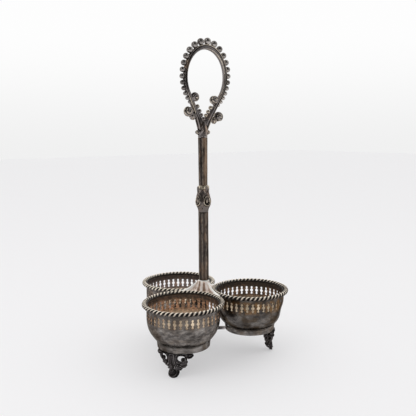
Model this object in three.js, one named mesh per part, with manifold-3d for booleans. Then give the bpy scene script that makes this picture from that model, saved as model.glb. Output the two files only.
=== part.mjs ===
// A stand for three bottles or decanters, in plated metal.
// Three pierced bowls stand on scroll feet round a tall stem with a beaded carrying ring on top.
// Millimetres, +Z up. The feet stand on z = 0 and the origin is under the middle of the outline,
// so the stem stands a little in front of it. The bowl at the back stands on the +Y side.

import * as THREE from 'three';
import { mergeGeometries, mergeVertices } from 'three/addons/utils/BufferGeometryUtils.js';
import Module from 'manifold-3d';

const wasm = await Module();
wasm.setup();

// Gap left between two pieces that the real stand solders, screws or clamps together.
const CLEARANCE = 0.3;

// The spun bowls, measured from the plane through the middle of their rope rims, called the rim plane.
const BOWL_RADIUS = 46.5;
const BOWL_WALL = 1.1;
const BAND_DEPTH = 20;
const CURVE_HEIGHT = 38;
const BOWL_DEPTH = 49.5;
const LIP_HEIGHT = 0.8;
const RIM_GAP = 4.1;
const REAR_AZIMUTH = 90;
const BOWL_AZIMUTHS = { left: REAR_AZIMUTH + 360 / 3, right: REAR_AZIMUTH - 360 / 3, rear: REAR_AZIMUTH };

// The pierced balusters round each bowl. The wall has one flat for each of them.
const PIERCINGS = 40;
const PIERCING_TOP = 8;
const PIERCING_HEIGHT = 11.4;
const PIERCING_WIDTH = 4.3;
const PIERCING_END_WIDTH = 2.9;
const PIERCING_NECK_WIDTH = 1.8;

// The twisted rim, the collar ring under each bowl and the scroll foot below it.
const ROPE_RADIUS = 2.8;
const COLLAR_RADIUS = 34.2;
const COLLAR_WALL = 1.5;
const COLLAR_HEIGHT = 8.6;
const COLLAR_TAPER = 0.7;
const FOOT_HEIGHT = 32;
const FOOT_SPAN = 48;
const FOOT_RAIL = 2.5;
const LEG_WIDTH = 8;
const LEG_THICKNESS = 4.4;
const LEG_SET_BACK = 5.2;
const ANKLE_WIDTH = 11.6;
const TOE_WIDTH = 14.4;
const TOE_HEIGHT = 10.8;
const TOE_DEPTH = 8.8;
const TOE_SET_BACK = 3.5;
const TOE_PAD_DEPTH = 0.5;
const EYE_OPENING = 8.6;
const EYE_SCROLL = 3.4;
const EYE_SPREAD = 12;
const EYE_DROP = 7.4;
const EYE_BALL_RADIUS = 2.4;
const EYE_BALL_DROP = 8.4;
// The leaf lobes on each half of a foot: share of the half span and of the height, half width, half height.
const FOOT_LEAVES = [[0.86, 0.1, 5.2, 3], [0.53, 0.49, 4.6, 4.1], [0.3, 0.56, 4.8, 3.9]];
const LEAF_THICKNESS = 4.6;
// The leaf tip that curls over the toe: share of the height, half width, half height.
const TOE_TIP = [0.64, 2.6, 3.2];

// The domed hub between the bowls, the strapwork under them and what clamps them together.
const HUB_HEIGHT = 15.5;
const HUB_TOP_RADIUS = 7.2;
const HUB_EDGE = 1;
const HUB_UNDERSIDE = -1.2;
const ROD_RADIUS = 2.4;
const ROD_BORE_RADIUS = ROD_RADIUS + CLEARANCE;
const ROD_GRIP = 6;
const ROD_TAIL = 1.5;
const PILLAR_RADIUS = 5;
const STRAP_WIDTH = 6;
const STRAP_THICKNESS = 3;
const STRAP_DISC_RADIUS = 9;
const WASHER_RADIUS = 6.5;
const WASHER_THICKNESS = 1.2;
const NUT_ACROSS_FLATS = 8;
const NUT_HEIGHT = 4.5;

// The reeded stem in two lengths and the cast knop that joins them.
const STEM_RADIUS = 6.2;
const STEM_WAIST_RADIUS = 5.8;
const LOWER_STEM_RADIUS = 6.8;
const STEM_WALL = 1.6;
const REEDS = 8;
const REED_DEPTH = 0.6;
const LOWER_REED_TURN = 40;
const UPPER_REED_TURN = 6;
const LOWER_STEM_LENGTH = 92.4;
const UPPER_STEM_LENGTH = 63.1;
const KNOP_LENGTH = 35.3;
const KNOP_RADIUS = 8.8;
const KNOP_EYE_WIDTH = 10;
const KNOP_EYE_HEIGHT = 14.8;
const KNOP_EYE_REACH = 1.7;
const KNOP_EYE_LEVEL = 13.8;
const KNOP_NECK_RADIUS = 7.2;
const LEAF_NOTCH = 3;

// The carrying handle: an oval ring on a fork. Its inside is an ellipse that runs down into the fork,
// and its band is wider over the top than at the sides.
const SOCKET_HEIGHT = 10;
const RING_HALF_WIDTH = 29.1;
const RING_HALF_HEIGHT = 35.5;
const RING_BAND = 4.5;
const RING_TOP_BAND = 6.4;
const BAND_WIDTH = 6.4;
const BAND_BEVEL = 1;
const RING_RISE = 77;
const RING_OPENING = 50;
const FORK_CROTCH_RISE = 22.5;
const FORK_WIDTH = 13;
const EAR_REACH = 11.6;
const EAR_RISE = 6.2;
const EAR_RADIUS = 3.3;
const TOP_BEAD_RADIUS = 4.7;
const LAST_BEAD_RADIUS = 2.1;
const BEAD_PAIRS = 13;
const TOP_BEAD_STEP = 10.8;
const LAST_BEAD_STEP = 5.3;
const BEAD_SEAT = 0.88;
const INNER_SCROLL_RADIUS = 6;
const OUTER_SCROLL_RADIUS = 6.7;
const LOBE_RADIUS = 4.6;
const SCROLL_SEAT = 0.85;
// Shares of the way down a limb where its inner scroll, outer scroll and lobe sit.
const INNER_SCROLL_SHARES = [0.15, 0.18];
const OUTER_SCROLL_SHARES = [0.37, 0.42];
const LOBE_SHARES = [0.56, 0.6];
// Beads up the inside of each limb: share of the way down the limb, and radius.
const FORK_BEADS = [[0.46, 2.9], [0.64, 2.8], [0.82, 2.5]];
const CROTCH_BEAD_RADIUS = 2.8;
// The handle has been knocked over to one side by this many degrees. At 0 it stands upright.
const HANDLE_LEAN = 4.2;

// Worked-out levels and places.
const degrees = Math.PI / 180;
const ropeRingRadius = BOWL_RADIUS + CLEARANCE + ROPE_RADIUS;
const rimRadius = ropeRingRadius + ROPE_RADIUS;
const bowlSpread = (2 * rimRadius + RIM_GAP) / Math.sqrt(3);
const stemBack = bowlSpread / 4;
const collarDrop = bowlCurveDrop(COLLAR_RADIUS) + CLEARANCE;
const rimPlane = FOOT_HEIGHT + CLEARANCE + COLLAR_HEIGHT + collarDrop;
const collarBottom = rimPlane - collarDrop - COLLAR_HEIGHT;
const strapBottom = collarBottom;
const strapTop = strapBottom + STRAP_THICKNESS;
const washerTop = strapBottom - CLEARANCE;
const nutTop = washerTop - WASHER_THICKNESS - CLEARANCE;
const rodBottom = nutTop - NUT_HEIGHT - ROD_TAIL;
const lowerStemBottom = rimPlane + HUB_HEIGHT + CLEARANCE;
const knopBottom = lowerStemBottom + LOWER_STEM_LENGTH + CLEARANCE;
const upperStemBottom = knopBottom + KNOP_LENGTH + CLEARANCE;
const handleBottom = upperStemBottom + UPPER_STEM_LENGTH + CLEARANCE;
const rodTop = handleBottom + ROD_GRIP;

// Depth of the bowl's outside below the rim plane, at a radius from the bowl's axis.
function bowlCurveDrop(radius) {
  const reach = Math.min(radius / BOWL_RADIUS, 1);
  return Math.min(BAND_DEPTH + CURVE_HEIGHT * Math.sqrt(1 - reach * reach), BOWL_DEPTH);
}

// The same triangles with nothing but their positions, each with corners of its own.
function bareShell(geometry) {
  const shell = geometry.index ? geometry.toNonIndexed() : geometry.clone();
  shell.deleteAttribute('normal');
  shell.deleteAttribute('uv');
  return shell;
}

// Joins shared corners, drops flat triangles and turns the faces outwards.
function closed(geometry) {
  const joined = mergeVertices(bareShell(geometry));
  const index = joined.index.array;
  const corners = [];
  for (let i = 0; i < index.length; i += 3) {
    const [a, b, c] = [index[i], index[i + 1], index[i + 2]];
    if (a !== b && b !== c && c !== a) corners.push(a, b, c);
  }
  const [p, q, r] = [new THREE.Vector3(), new THREE.Vector3(), new THREE.Vector3()];
  const position = joined.getAttribute('position');
  let volume = 0;
  for (let i = 0; i < corners.length; i += 3) {
    p.fromBufferAttribute(position, corners[i]);
    q.fromBufferAttribute(position, corners[i + 1]);
    r.fromBufferAttribute(position, corners[i + 2]);
    volume += p.dot(q.cross(r));
  }
  if (volume < 0) corners.reverse();
  joined.setIndex(corners);
  joined.computeVertexNormals();
  return joined;
}

function solidOf(geometry) {
  const shell = closed(geometry);
  return new wasm.Manifold(new wasm.Mesh({
    numProp: 3,
    vertProperties: new Float32Array(shell.getAttribute('position').array),
    triVerts: new Uint32Array(shell.index.array),
  }));
}

function geometryOf(solid) {
  const mesh = solid.getMesh();
  const geometry = new THREE.BufferGeometry();
  geometry.setAttribute('position', new THREE.BufferAttribute(mesh.vertProperties, 3));
  geometry.setIndex(new THREE.BufferAttribute(mesh.triVerts, 1));
  return closed(geometry);
}

function joinAll(geometries) {
  return geometries.map(solidOf).reduce((whole, piece) => whole.add(piece));
}

// Moves every corner of a geometry by a function of its place.
function reshape(geometry, move) {
  const position = geometry.getAttribute('position');
  const point = new THREE.Vector3();
  for (let i = 0; i < position.count; i += 1) {
    point.fromBufferAttribute(position, i);
    const moved = move(point);
    position.setXYZ(i, moved.x, moved.y, moved.z);
  }
  return geometry;
}

// Turns a profile of [radius, height] pairs round the Z axis.
function turned(profile, segments) {
  const points = profile.map(([radius, height]) => new THREE.Vector2(radius, height));
  return new THREE.LatheGeometry(points, segments).rotateX(Math.PI / 2);
}

function tube(outerRadius, innerRadius, bottom, top, segments) {
  return turned([
    [innerRadius, bottom],
    [outerRadius, bottom],
    [outerRadius, top],
    [innerRadius, top],
    [innerRadius, bottom],
  ], segments);
}

function ball(center, radii, around = 8, down = 5) {
  const geometry = new THREE.SphereGeometry(1, around, down).rotateX(Math.PI / 2);
  return geometry.scale(...radii).translate(...center);
}

// The spun curve of a bowl from its floor up to its pierced band, moved in by an inset.
function bowlCurve(inset) {
  const curveSteps = 3;
  const [across, down] = [BOWL_RADIUS - inset, CURVE_HEIGHT - inset];
  const floorAngle = Math.asin(Math.min((BOWL_DEPTH - inset - BAND_DEPTH) / down, 1));
  const profile = [[0, inset - BOWL_DEPTH]];
  for (let step = curveSteps; step >= 0; step -= 1) {
    const angle = floorAngle * step / curveSteps;
    profile.push([across * Math.cos(angle), -BAND_DEPTH - down * Math.sin(angle)]);
  }
  return profile;
}

// Outline of one piercing, a baluster of three lobes, as places round the wall and up it.
function piercingOutline() {
  const levels = [0, 0.27, 0.5, 0.73, 1];
  const [end, neck, middle] = [PIERCING_END_WIDTH, PIERCING_NECK_WIDTH, PIERCING_WIDTH];
  const widths = [end, neck, middle, neck, end];
  const bottom = -PIERCING_TOP - PIERCING_HEIGHT;
  const right = levels.map((level, i) => new THREE.Vector2(widths[i] / 2, bottom + PIERCING_HEIGHT * level));
  const left = right.map((point) => new THREE.Vector2(-point.x, point.y)).reverse();
  return [...right, ...left];
}

// One flat of the pierced band, facing +X: two faces and the edge of the hole between them.
function piercedFlat() {
  const hole = piercingOutline();
  const halfTurn = Math.PI / PIERCINGS;
  const faceAt = (radius) => {
    const half = radius * Math.sin(halfTurn);
    const corners = [[-half, -BAND_DEPTH], [half, -BAND_DEPTH], [half, LIP_HEIGHT], [-half, LIP_HEIGHT]];
    const shape = new THREE.Shape(corners.map(([x, y]) => new THREE.Vector2(x, y)));
    shape.holes.push(new THREE.Path(hole));
    const depth = radius * Math.cos(halfTurn);
    return reshape(bareShell(new THREE.ShapeGeometry(shape)), (p) => new THREE.Vector3(depth, p.x, p.y));
  };
  const outside = faceAt(BOWL_RADIUS);
  // Mirrored across its own middle, which leaves its outline as it is and turns it to face inwards.
  const inside = faceAt(BOWL_RADIUS - BOWL_WALL).scale(1, -1, 1);
  const depths = [outside, inside].map((face) => face.getAttribute('position').getX(0));
  const corners = [];
  hole.forEach((from, i) => {
    const to = hole[(i + 1) % hole.length];
    const [a, b] = depths.map((depth) => [depth, from.x, from.y]);
    const [c, d] = depths.map((depth) => [depth, to.x, to.y]);
    corners.push(...a, ...c, ...d, ...a, ...d, ...b);
  });
  const edge = new THREE.BufferGeometry();
  edge.setAttribute('position', new THREE.Float32BufferAttribute(corners, 3));
  return mergeGeometries([outside, inside, edge]);
}

// One spun bowl with its floor, about its own axis.
function bowl() {
  const inner = BOWL_RADIUS - BOWL_WALL;
  const strips = [
    turned(bowlCurve(0), PIERCINGS),
    turned([[BOWL_RADIUS, LIP_HEIGHT], [inner, LIP_HEIGHT]], PIERCINGS),
    turned(bowlCurve(BOWL_WALL).reverse(), PIERCINGS),
  ];
  const flat = piercedFlat();
  for (let i = 0; i < PIERCINGS; i += 1) {
    const azimuth = 2 * Math.PI * (i + 0.5) / PIERCINGS - Math.PI / 2;
    strips.push(flat.clone().rotateZ(azimuth));
  }
  return closed(mergeGeometries(strips.map(bareShell)));
}

// The twisted wire soldered round the lip, as a plain ring.
function ropeRim() {
  return closed(new THREE.TorusGeometry(ropeRingRadius, ROPE_RADIUS, 6, 48));
}

// The tapered collar that the bowl's curve sits down into.
function collarRing() {
  const inside = COLLAR_RADIUS - COLLAR_WALL;
  const bottom = -collarDrop - COLLAR_HEIGHT;
  return closed(turned([
    [COLLAR_RADIUS, -collarDrop],
    [inside, -bowlCurveDrop(inside) - CLEARANCE],
    [inside - COLLAR_TAPER, bottom],
    [COLLAR_RADIUS - COLLAR_TAPER, bottom],
    [COLLAR_RADIUS, -collarDrop],
  ], PIERCINGS));
}

// One cast scroll foot, outwards along +X, with its top at z = 0.
// Its pieces are laid out flat, as places out from the sheet, along the collar and below it,
// and bent round the collar while the leg swings in and out again.
function scrollFoot() {
  const seat = COLLAR_RADIUS - COLLAR_TAPER - COLLAR_WALL / 2;
  const bend = (geometry) => reshape(geometry, (p) => {
    const share = THREE.MathUtils.clamp(-p.z / FOOT_HEIGHT, 0, 1);
    const bow = (1 - Math.cos(2 * Math.PI * Math.pow(share, 1.6))) / 2;
    const radius = seat + p.x - LEG_SET_BACK * bow - TOE_SET_BACK * share;
    const angle = p.y / seat;
    return new THREE.Vector3(radius * Math.cos(angle), radius * Math.sin(angle), p.z);
  });
  const rail = new THREE.BoxGeometry(FOOT_RAIL, FOOT_SPAN, FOOT_RAIL, 1, 8, 1);
  const toe = ball(
    [TOE_PAD_DEPTH, 0, TOE_HEIGHT / 2 - TOE_PAD_DEPTH - FOOT_HEIGHT],
    [TOE_DEPTH / 2, TOE_WIDTH / 2, TOE_HEIGHT / 2],
    8,
    6,
  );
  const [tipShare, tipWidth, tipHeight] = TOE_TIP;
  const tipRadii = [LEAF_THICKNESS / 2, tipWidth, tipHeight];
  const tip = ball([3 * TOE_PAD_DEPTH, 0, -FOOT_HEIGHT * tipShare], tipRadii, 5, 3);
  const pieces = [rail.translate(0, 0, -FOOT_RAIL / 2), footLeg(), toe, tip, ...footScrolls()];

  const slab = new THREE.BoxGeometry(4 * FOOT_SPAN, 4 * FOOT_SPAN, FOOT_HEIGHT);
  const above = slab.clone().translate(0, 0, FOOT_HEIGHT / 2);
  const below = slab.clone().translate(0, 0, -1.5 * FOOT_HEIGHT);
  const whole = joinAll(pieces.map(bend)).subtract(solidOf(above)).subtract(solidOf(below));
  return geometryOf(whole);
}

// The flat leg down the middle of a foot, which widens at the ankle.
function footLeg() {
  const length = FOOT_HEIGHT - TOE_HEIGHT / 2;
  const leg = new THREE.CylinderGeometry(0.5, 0.5, length, 6, 5).rotateX(-Math.PI / 2);
  return reshape(leg.translate(0, 0, -length / 2), (p) => {
    const share = THREE.MathUtils.smoothstep(-p.z / length, 0.4, 0.9);
    const width = THREE.MathUtils.lerp(LEG_WIDTH, ANKLE_WIDTH, share);
    return new THREE.Vector3(p.x * LEG_THICKNESS, p.y * width, p.z);
  });
}

// The ring scrolls beside the leg, with a ball in each, and the leaf lobes round them.
function footScrolls() {
  const ballSpread = EYE_SPREAD + EYE_OPENING / 2 - EYE_BALL_RADIUS * 0.7;
  return [-1, 1].flatMap((side) => {
    const scroll = new THREE.TorusGeometry((EYE_OPENING + EYE_SCROLL) / 2, EYE_SCROLL / 2, 4, 10);
    scroll.rotateY(Math.PI / 2).translate(0, side * EYE_SPREAD, -EYE_DROP);
    const eyeRadii = [EYE_BALL_RADIUS, EYE_BALL_RADIUS, EYE_BALL_RADIUS];
    const eyeBall = ball([0, side * ballSpread, -EYE_BALL_DROP], eyeRadii, 5, 3);
    const leaves = FOOT_LEAVES.map(([along, down, halfWidth, halfHeight]) => ball(
      [0, side * along * FOOT_SPAN / 2, -down * FOOT_HEIGHT],
      [LEAF_THICKNESS / 2, halfWidth, halfHeight],
      6,
      3,
    ));
    return [scroll, eyeBall, ...leaves];
  });
}

// The hub: a dome with three hollow sides, which follow the rims, and three points between them.
function domedHub() {
  const reach = rimRadius + CLEARANCE;
  const pointAngle = Math.PI / 3;
  const tangentAngle = Math.asin(Math.min(reach / bowlSpread, 1));
  const pointReach = bowlSpread * Math.cos(tangentAngle);
  const edgeAt = (offset) => {
    const across = bowlSpread * Math.sin(offset);
    if (Math.abs(offset) >= tangentAngle) return pointReach;
    return bowlSpread * Math.cos(offset) - Math.sqrt(reach * reach - across * across);
  };
  const topSteps = [0, 0.12, 0.3, 0.6, 1];
  const boreMark = 0.5;
  const seatMark = 1;
  const profile = [[boreMark, 1]];
  topSteps.forEach((step) => profile.push([seatMark + step, 1]));
  profile.push([seatMark + 1, 0]);
  profile.push([boreMark, 0]);
  profile.push([boreMark, 1]);
  const segments = 48;
  const geometry = turned(profile, segments);
  return closed(reshape(geometry, (p) => {
    const mark = Math.hypot(p.x, p.y);
    const azimuth = Math.atan2(p.y, p.x);
    const sector = Math.round((azimuth - REAR_AZIMUTH * degrees) / (2 * pointAngle));
    const bowlAzimuth = REAR_AZIMUTH * degrees + sector * 2 * pointAngle;
    const share = (azimuth - bowlAzimuth) / pointAngle;
    const offset = pointAngle * share * (1.3 - 0.3 * share * share);
    const step = THREE.MathUtils.clamp(mark - seatMark, 0, 1);
    const edge = edgeAt(offset);
    const isBore = mark < (boreMark + seatMark) / 2;
    const radius = isBore ? ROD_BORE_RADIUS : HUB_TOP_RADIUS + (edge - HUB_TOP_RADIUS) * step;
    const dome = HUB_EDGE + (HUB_HEIGHT - HUB_EDGE) * Math.pow(1 - step, 2.2);
    const height = p.z > 0.5 ? dome : HUB_UNDERSIDE;
    const angle = bowlAzimuth + offset;
    return new THREE.Vector3(radius * Math.cos(angle), radius * Math.sin(angle), height);
  }));
}

// A length of reeded tube between two radii, its reeds turned by an angle.
function reededTube(length, bottomRadius, topRadius, turn) {
  const points = [];
  const count = 6 * REEDS;
  for (let i = 0; i < count; i += 1) {
    const angle = 2 * Math.PI * i / count;
    const groove = Math.pow(Math.sin(REEDS * angle / 2), 2);
    const radius = STEM_RADIUS - REED_DEPTH * groove;
    points.push(new THREE.Vector2(radius * Math.cos(angle), radius * Math.sin(angle)));
  }
  const shape = new THREE.Shape(points);
  const bore = new THREE.Path();
  bore.absarc(0, 0, STEM_RADIUS - REED_DEPTH - STEM_WALL, 0, 2 * Math.PI, true);
  shape.holes.push(bore);
  const geometry = new THREE.ExtrudeGeometry(shape, { depth: length, bevelEnabled: false, curveSegments: 12 });
  geometry.rotateZ(turn * degrees);
  return closed(reshape(geometry, (p) => {
    const scale = THREE.MathUtils.lerp(bottomRadius, topRadius, p.z / length) / STEM_RADIUS;
    return new THREE.Vector3(p.x * scale, p.y * scale, p.z);
  }));
}

// The cast knop: a swelling body with four oval eyes and a crown of four leaves.
function stemKnop() {
  const shoulder = KNOP_EYE_HEIGHT * 0.4;
  const body = turned([
    [ROD_BORE_RADIUS, 0],
    [LOWER_STEM_RADIUS, 0],
    [LOWER_STEM_RADIUS + CLEARANCE, KNOP_EYE_LEVEL - 1.6 * shoulder],
    [KNOP_RADIUS * 0.95, KNOP_EYE_LEVEL - 0.8 * shoulder],
    [KNOP_RADIUS, KNOP_EYE_LEVEL + 0.2 * shoulder],
    [KNOP_RADIUS * 0.95, KNOP_EYE_LEVEL + 1.2 * shoulder],
    [KNOP_NECK_RADIUS, KNOP_EYE_LEVEL + 2.1 * shoulder],
    [KNOP_NECK_RADIUS, KNOP_LENGTH - 2 * LEAF_NOTCH],
    [KNOP_NECK_RADIUS + CLEARANCE, KNOP_LENGTH],
    [ROD_BORE_RADIUS, KNOP_LENGTH - 1.3 * LEAF_NOTCH],
    [ROD_BORE_RADIUS, 0],
  ], 24);
  reshape(body, (p) => {
    const isTip = p.z > KNOP_LENGTH - LEAF_NOTCH / 2;
    const between = Math.pow(Math.sin(2 * Math.atan2(p.y, p.x)), 2);
    return new THREE.Vector3(p.x, p.y, isTip ? p.z - LEAF_NOTCH * between : p.z);
  });
  const eyeDepth = 2 * KNOP_EYE_REACH;
  const eyes = [0, 90, 180, 270].map((azimuth) => {
    const center = [KNOP_RADIUS + KNOP_EYE_REACH - eyeDepth, 0, KNOP_EYE_LEVEL];
    const eye = ball(center, [eyeDepth, KNOP_EYE_WIDTH / 2, KNOP_EYE_HEIGHT / 2], 8, 6);
    return eye.rotateZ(azimuth * degrees);
  });
  return geometryOf(joinAll([body, ...eyes]));
}

// One limb of the handle on the +X side, from the end of the ring's ellipse down to the fork.
function limbCurve(grow, topGrow, waist, foot) {
  const [across, up] = [RING_HALF_WIDTH + grow, RING_HALF_HEIGHT + topGrow];
  const opening = RING_OPENING * degrees;
  const start = new THREE.Vector2(across * Math.sin(opening), RING_RISE - up * Math.cos(opening));
  return new THREE.QuadraticBezierCurve(start, new THREE.Vector2(...waist), new THREE.Vector2(...foot));
}

const waistRise = FORK_CROTCH_RISE + FORK_WIDTH * 0.42;
const outerFoot = [FORK_WIDTH / 2, SOCKET_HEIGHT - BAND_BEVEL];
const innerFoot = [BAND_BEVEL, FORK_CROTCH_RISE];
const outerLimb = limbCurve(RING_BAND, RING_TOP_BAND, [FORK_WIDTH, waistRise], outerFoot);
const innerLimb = limbCurve(0, 0, [FORK_WIDTH * 0.82, waistRise + RING_BAND], innerFoot);

// A closed outline: the ring's ellipse over the top and a limb down each side.
function drawHandleOutline(path, limb, grow, topGrow) {
  const start = RING_OPENING * degrees - Math.PI / 2;
  const [top, waist, foot] = [limb.v0, limb.v1, limb.v2];
  path.moveTo(top.x, top.y);
  const [across, up] = [RING_HALF_WIDTH + grow, RING_HALF_HEIGHT + topGrow];
  path.absellipse(0, RING_RISE, across, up, start, Math.PI - start, false);
  path.quadraticCurveTo(-waist.x, waist.y, -foot.x, foot.y);
  path.lineTo(foot.x, foot.y);
  path.quadraticCurveTo(waist.x, waist.y, top.x, top.y);
  return path;
}

// The carrying handle, about the stem's axis with its bottom at z = 0.
function carryingHandle() {
  const shape = drawHandleOutline(new THREE.Shape(), outerLimb, RING_BAND, RING_TOP_BAND);
  shape.holes.push(drawHandleOutline(new THREE.Path(), innerLimb, 0, 0));
  const flat = new THREE.ExtrudeGeometry(shape, {
    depth: BAND_WIDTH - 2 * BAND_BEVEL,
    curveSegments: 12,
    bevelThickness: BAND_BEVEL,
    bevelSize: BAND_BEVEL,
    bevelOffset: -BAND_BEVEL,
    bevelSegments: 1,
  });
  flat.translate(0, 0, BAND_BEVEL - BAND_WIDTH / 2).rotateX(Math.PI / 2);

  const pieces = [flat, ...handleBeads(), ...handleScrolls(), ...handleSocket()];
  const bore = new THREE.CylinderGeometry(ROD_BORE_RADIUS, ROD_BORE_RADIUS, 2 * (ROD_GRIP + CLEARANCE), 12);
  const whole = joinAll(pieces).subtract(solidOf(bore.rotateX(Math.PI / 2)));
  const slope = Math.tan(HANDLE_LEAN * degrees);
  return closed(reshape(geometryOf(whole), (p) => {
    const above = Math.max(p.z - ROD_GRIP, 0);
    const tilt = slope * Math.min(above / SOCKET_HEIGHT, 1);
    return new THREE.Vector3(p.x + above * slope, p.y, p.z - p.x * tilt);
  }));
}

// Graduated beads round the outside of the ring: one on top and a falling row down each side.
function handleBeads() {
  const outerWidth = RING_HALF_WIDTH + RING_BAND;
  const outerHeight = RING_HALF_HEIGHT + RING_TOP_BAND;
  const beads = [];
  let angle = 0;
  for (let i = 0; i <= BEAD_PAIRS; i += 1) {
    const share = i / BEAD_PAIRS;
    const radius = THREE.MathUtils.lerp(TOP_BEAD_RADIUS, LAST_BEAD_RADIUS, share);
    const seat = radius * BEAD_SEAT;
    const x = (outerWidth + seat) * Math.sin(angle);
    const z = RING_RISE + (outerHeight + seat) * Math.cos(angle);
    for (const side of i === 0 ? [1] : [-1, 1]) {
      beads.push(ball([side * x, 0, z], [radius, radius, radius], 6, 4));
    }
    const step = THREE.MathUtils.lerp(TOP_BEAD_STEP, LAST_BEAD_STEP, share);
    const speed = Math.hypot((outerWidth + seat) * Math.cos(angle), (outerHeight + seat) * Math.sin(angle));
    angle += step / speed;
  }
  return beads;
}

// A ball on the left limb and one on the right: each at its own share of the way down, off to one side
// by most of its radius. The real scrolls don't match from side to side.
function limbBalls(limb, shares, side, radius) {
  const off = side * radius * SCROLL_SEAT;
  return shares.map((share, i) => {
    const [spot, along] = [limb.getPoint(share), limb.getTangent(share)];
    const [x, z] = [spot.x - along.y * off, spot.y + along.x * off];
    return ball([i === 0 ? -x : x, 0, z], [radius, radius, radius], 7, 5);
  });
}

// Round scroll ends inside and outside the two limbs, and the small beads in the fork.
function handleScrolls() {
  const [inwards, outwards] = [-1, 1];
  const crotchRadii = [CROTCH_BEAD_RADIUS, CROTCH_BEAD_RADIUS, CROTCH_BEAD_RADIUS];
  return [
    ball([0, 0, FORK_CROTCH_RISE + BAND_BEVEL], crotchRadii, 8, 4),
    ...limbBalls(innerLimb, INNER_SCROLL_SHARES, inwards, INNER_SCROLL_RADIUS),
    ...limbBalls(outerLimb, OUTER_SCROLL_SHARES, outwards, OUTER_SCROLL_RADIUS),
    ...limbBalls(outerLimb, LOBE_SHARES, outwards, LOBE_RADIUS),
    ...FORK_BEADS.flatMap(([share, radius]) => limbBalls(innerLimb, [share, share], inwards, radius)),
  ];
}

// The round foot of the fork, which takes the rod, and the two curled ears beside it.
function handleSocket() {
  const forkRise = FORK_CROTCH_RISE - 2 * BAND_BEVEL;
  const base = new THREE.CylinderGeometry(STEM_RADIUS, STEM_RADIUS, SOCKET_HEIGHT, 16);
  base.rotateX(Math.PI / 2).translate(0, 0, SOCKET_HEIGHT / 2);
  const taper = new THREE.CylinderGeometry(STEM_RADIUS / 2, STEM_RADIUS, forkRise - SOCKET_HEIGHT, 16);
  taper.rotateX(Math.PI / 2).translate(0, 0, (forkRise + SOCKET_HEIGHT) / 2);
  const ears = [-1, 1].map((side) => {
    const reach = EAR_REACH / 2;
    return ball([side * reach, 0, EAR_RISE], [reach, EAR_RADIUS, EAR_RADIUS], 8, 5);
  });
  return [base, taper, ...ears];
}

// The flat strapwork between the collar rings: a disc with an arm out to the side of each ring.
function baseStraps() {
  const collarSide = COLLAR_RADIUS - COLLAR_TAPER / 2 + CLEARANCE;
  const reach = bowlSpread - collarSide;
  const disc = tube(STRAP_DISC_RADIUS, ROD_BORE_RADIUS, strapBottom, strapTop, 24);
  const arms = Object.values(BOWL_AZIMUTHS).map((azimuth) => {
    const start = (ROD_BORE_RADIUS + STRAP_DISC_RADIUS) / 2;
    const arm = new THREE.BoxGeometry(reach - start, STRAP_WIDTH, STRAP_THICKNESS);
    arm.translate((reach + start) / 2, 0, (strapTop + strapBottom) / 2);
    return arm.rotateZ(azimuth * degrees);
  });
  return geometryOf(joinAll([disc, ...arms]));
}

function hexNut() {
  const corner = NUT_ACROSS_FLATS / Math.sqrt(3);
  const shape = new THREE.Shape();
  for (let i = 0; i < 6; i += 1) {
    const angle = i * Math.PI / 3;
    const [x, y] = [corner * Math.cos(angle), corner * Math.sin(angle)];
    if (i === 0) shape.moveTo(x, y);
    else shape.lineTo(x, y);
  }
  const bore = new THREE.Path();
  bore.absarc(0, 0, ROD_BORE_RADIUS, 0, 2 * Math.PI, true);
  shape.holes.push(bore);
  const settings = { depth: NUT_HEIGHT, bevelEnabled: false, curveSegments: 12 };
  return closed(new THREE.ExtrudeGeometry(shape, settings).translate(0, 0, nutTop - NUT_HEIGHT));
}

function tieRod() {
  return closed(turned([[0, rodBottom], [ROD_RADIUS, rodBottom], [ROD_RADIUS, rodTop], [0, rodTop]], 12));
}

const tarnished = { color: 0x4c4740, roughness: 0.42, metalness: 0.9 };
const platedSilver = new THREE.MeshStandardMaterial(tarnished);
const brightSilver = new THREE.MeshStandardMaterial({ ...tarnished, color: 0xb9ab98, roughness: 0.34 });
const castSilver = new THREE.MeshStandardMaterial({ ...tarnished, color: 0x35312c, roughness: 0.38 });
const darkSteel = new THREE.MeshStandardMaterial({ ...tarnished, color: 0x2a2826, roughness: 0.5 });

function piece(name, geometry, material, height = 0) {
  const mesh = new THREE.Mesh(geometry, material);
  mesh.name = name;
  mesh.position.z = height;
  return mesh;
}

const stand = new THREE.Group();
const aboutStem = new THREE.Group();
aboutStem.position.x = -stemBack * Math.cos(REAR_AZIMUTH * degrees);
aboutStem.position.y = -stemBack * Math.sin(REAR_AZIMUTH * degrees);
stand.add(aboutStem);

for (const [place, azimuth] of Object.entries(BOWL_AZIMUTHS)) {
  const unit = new THREE.Group();
  unit.rotation.z = azimuth * degrees;
  unit.position.x = bowlSpread * Math.cos(azimuth * degrees);
  unit.position.y = bowlSpread * Math.sin(azimuth * degrees);
  unit.add(piece(`${place}_bowl`, bowl(), platedSilver, rimPlane));
  unit.add(piece(`${place}_rope_rim`, ropeRim(), brightSilver, rimPlane));
  unit.add(piece(`${place}_collar_ring`, collarRing(), platedSilver, rimPlane));
  unit.add(piece(`${place}_scroll_foot`, scrollFoot(), castSilver, FOOT_HEIGHT));
  aboutStem.add(unit);
}

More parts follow.
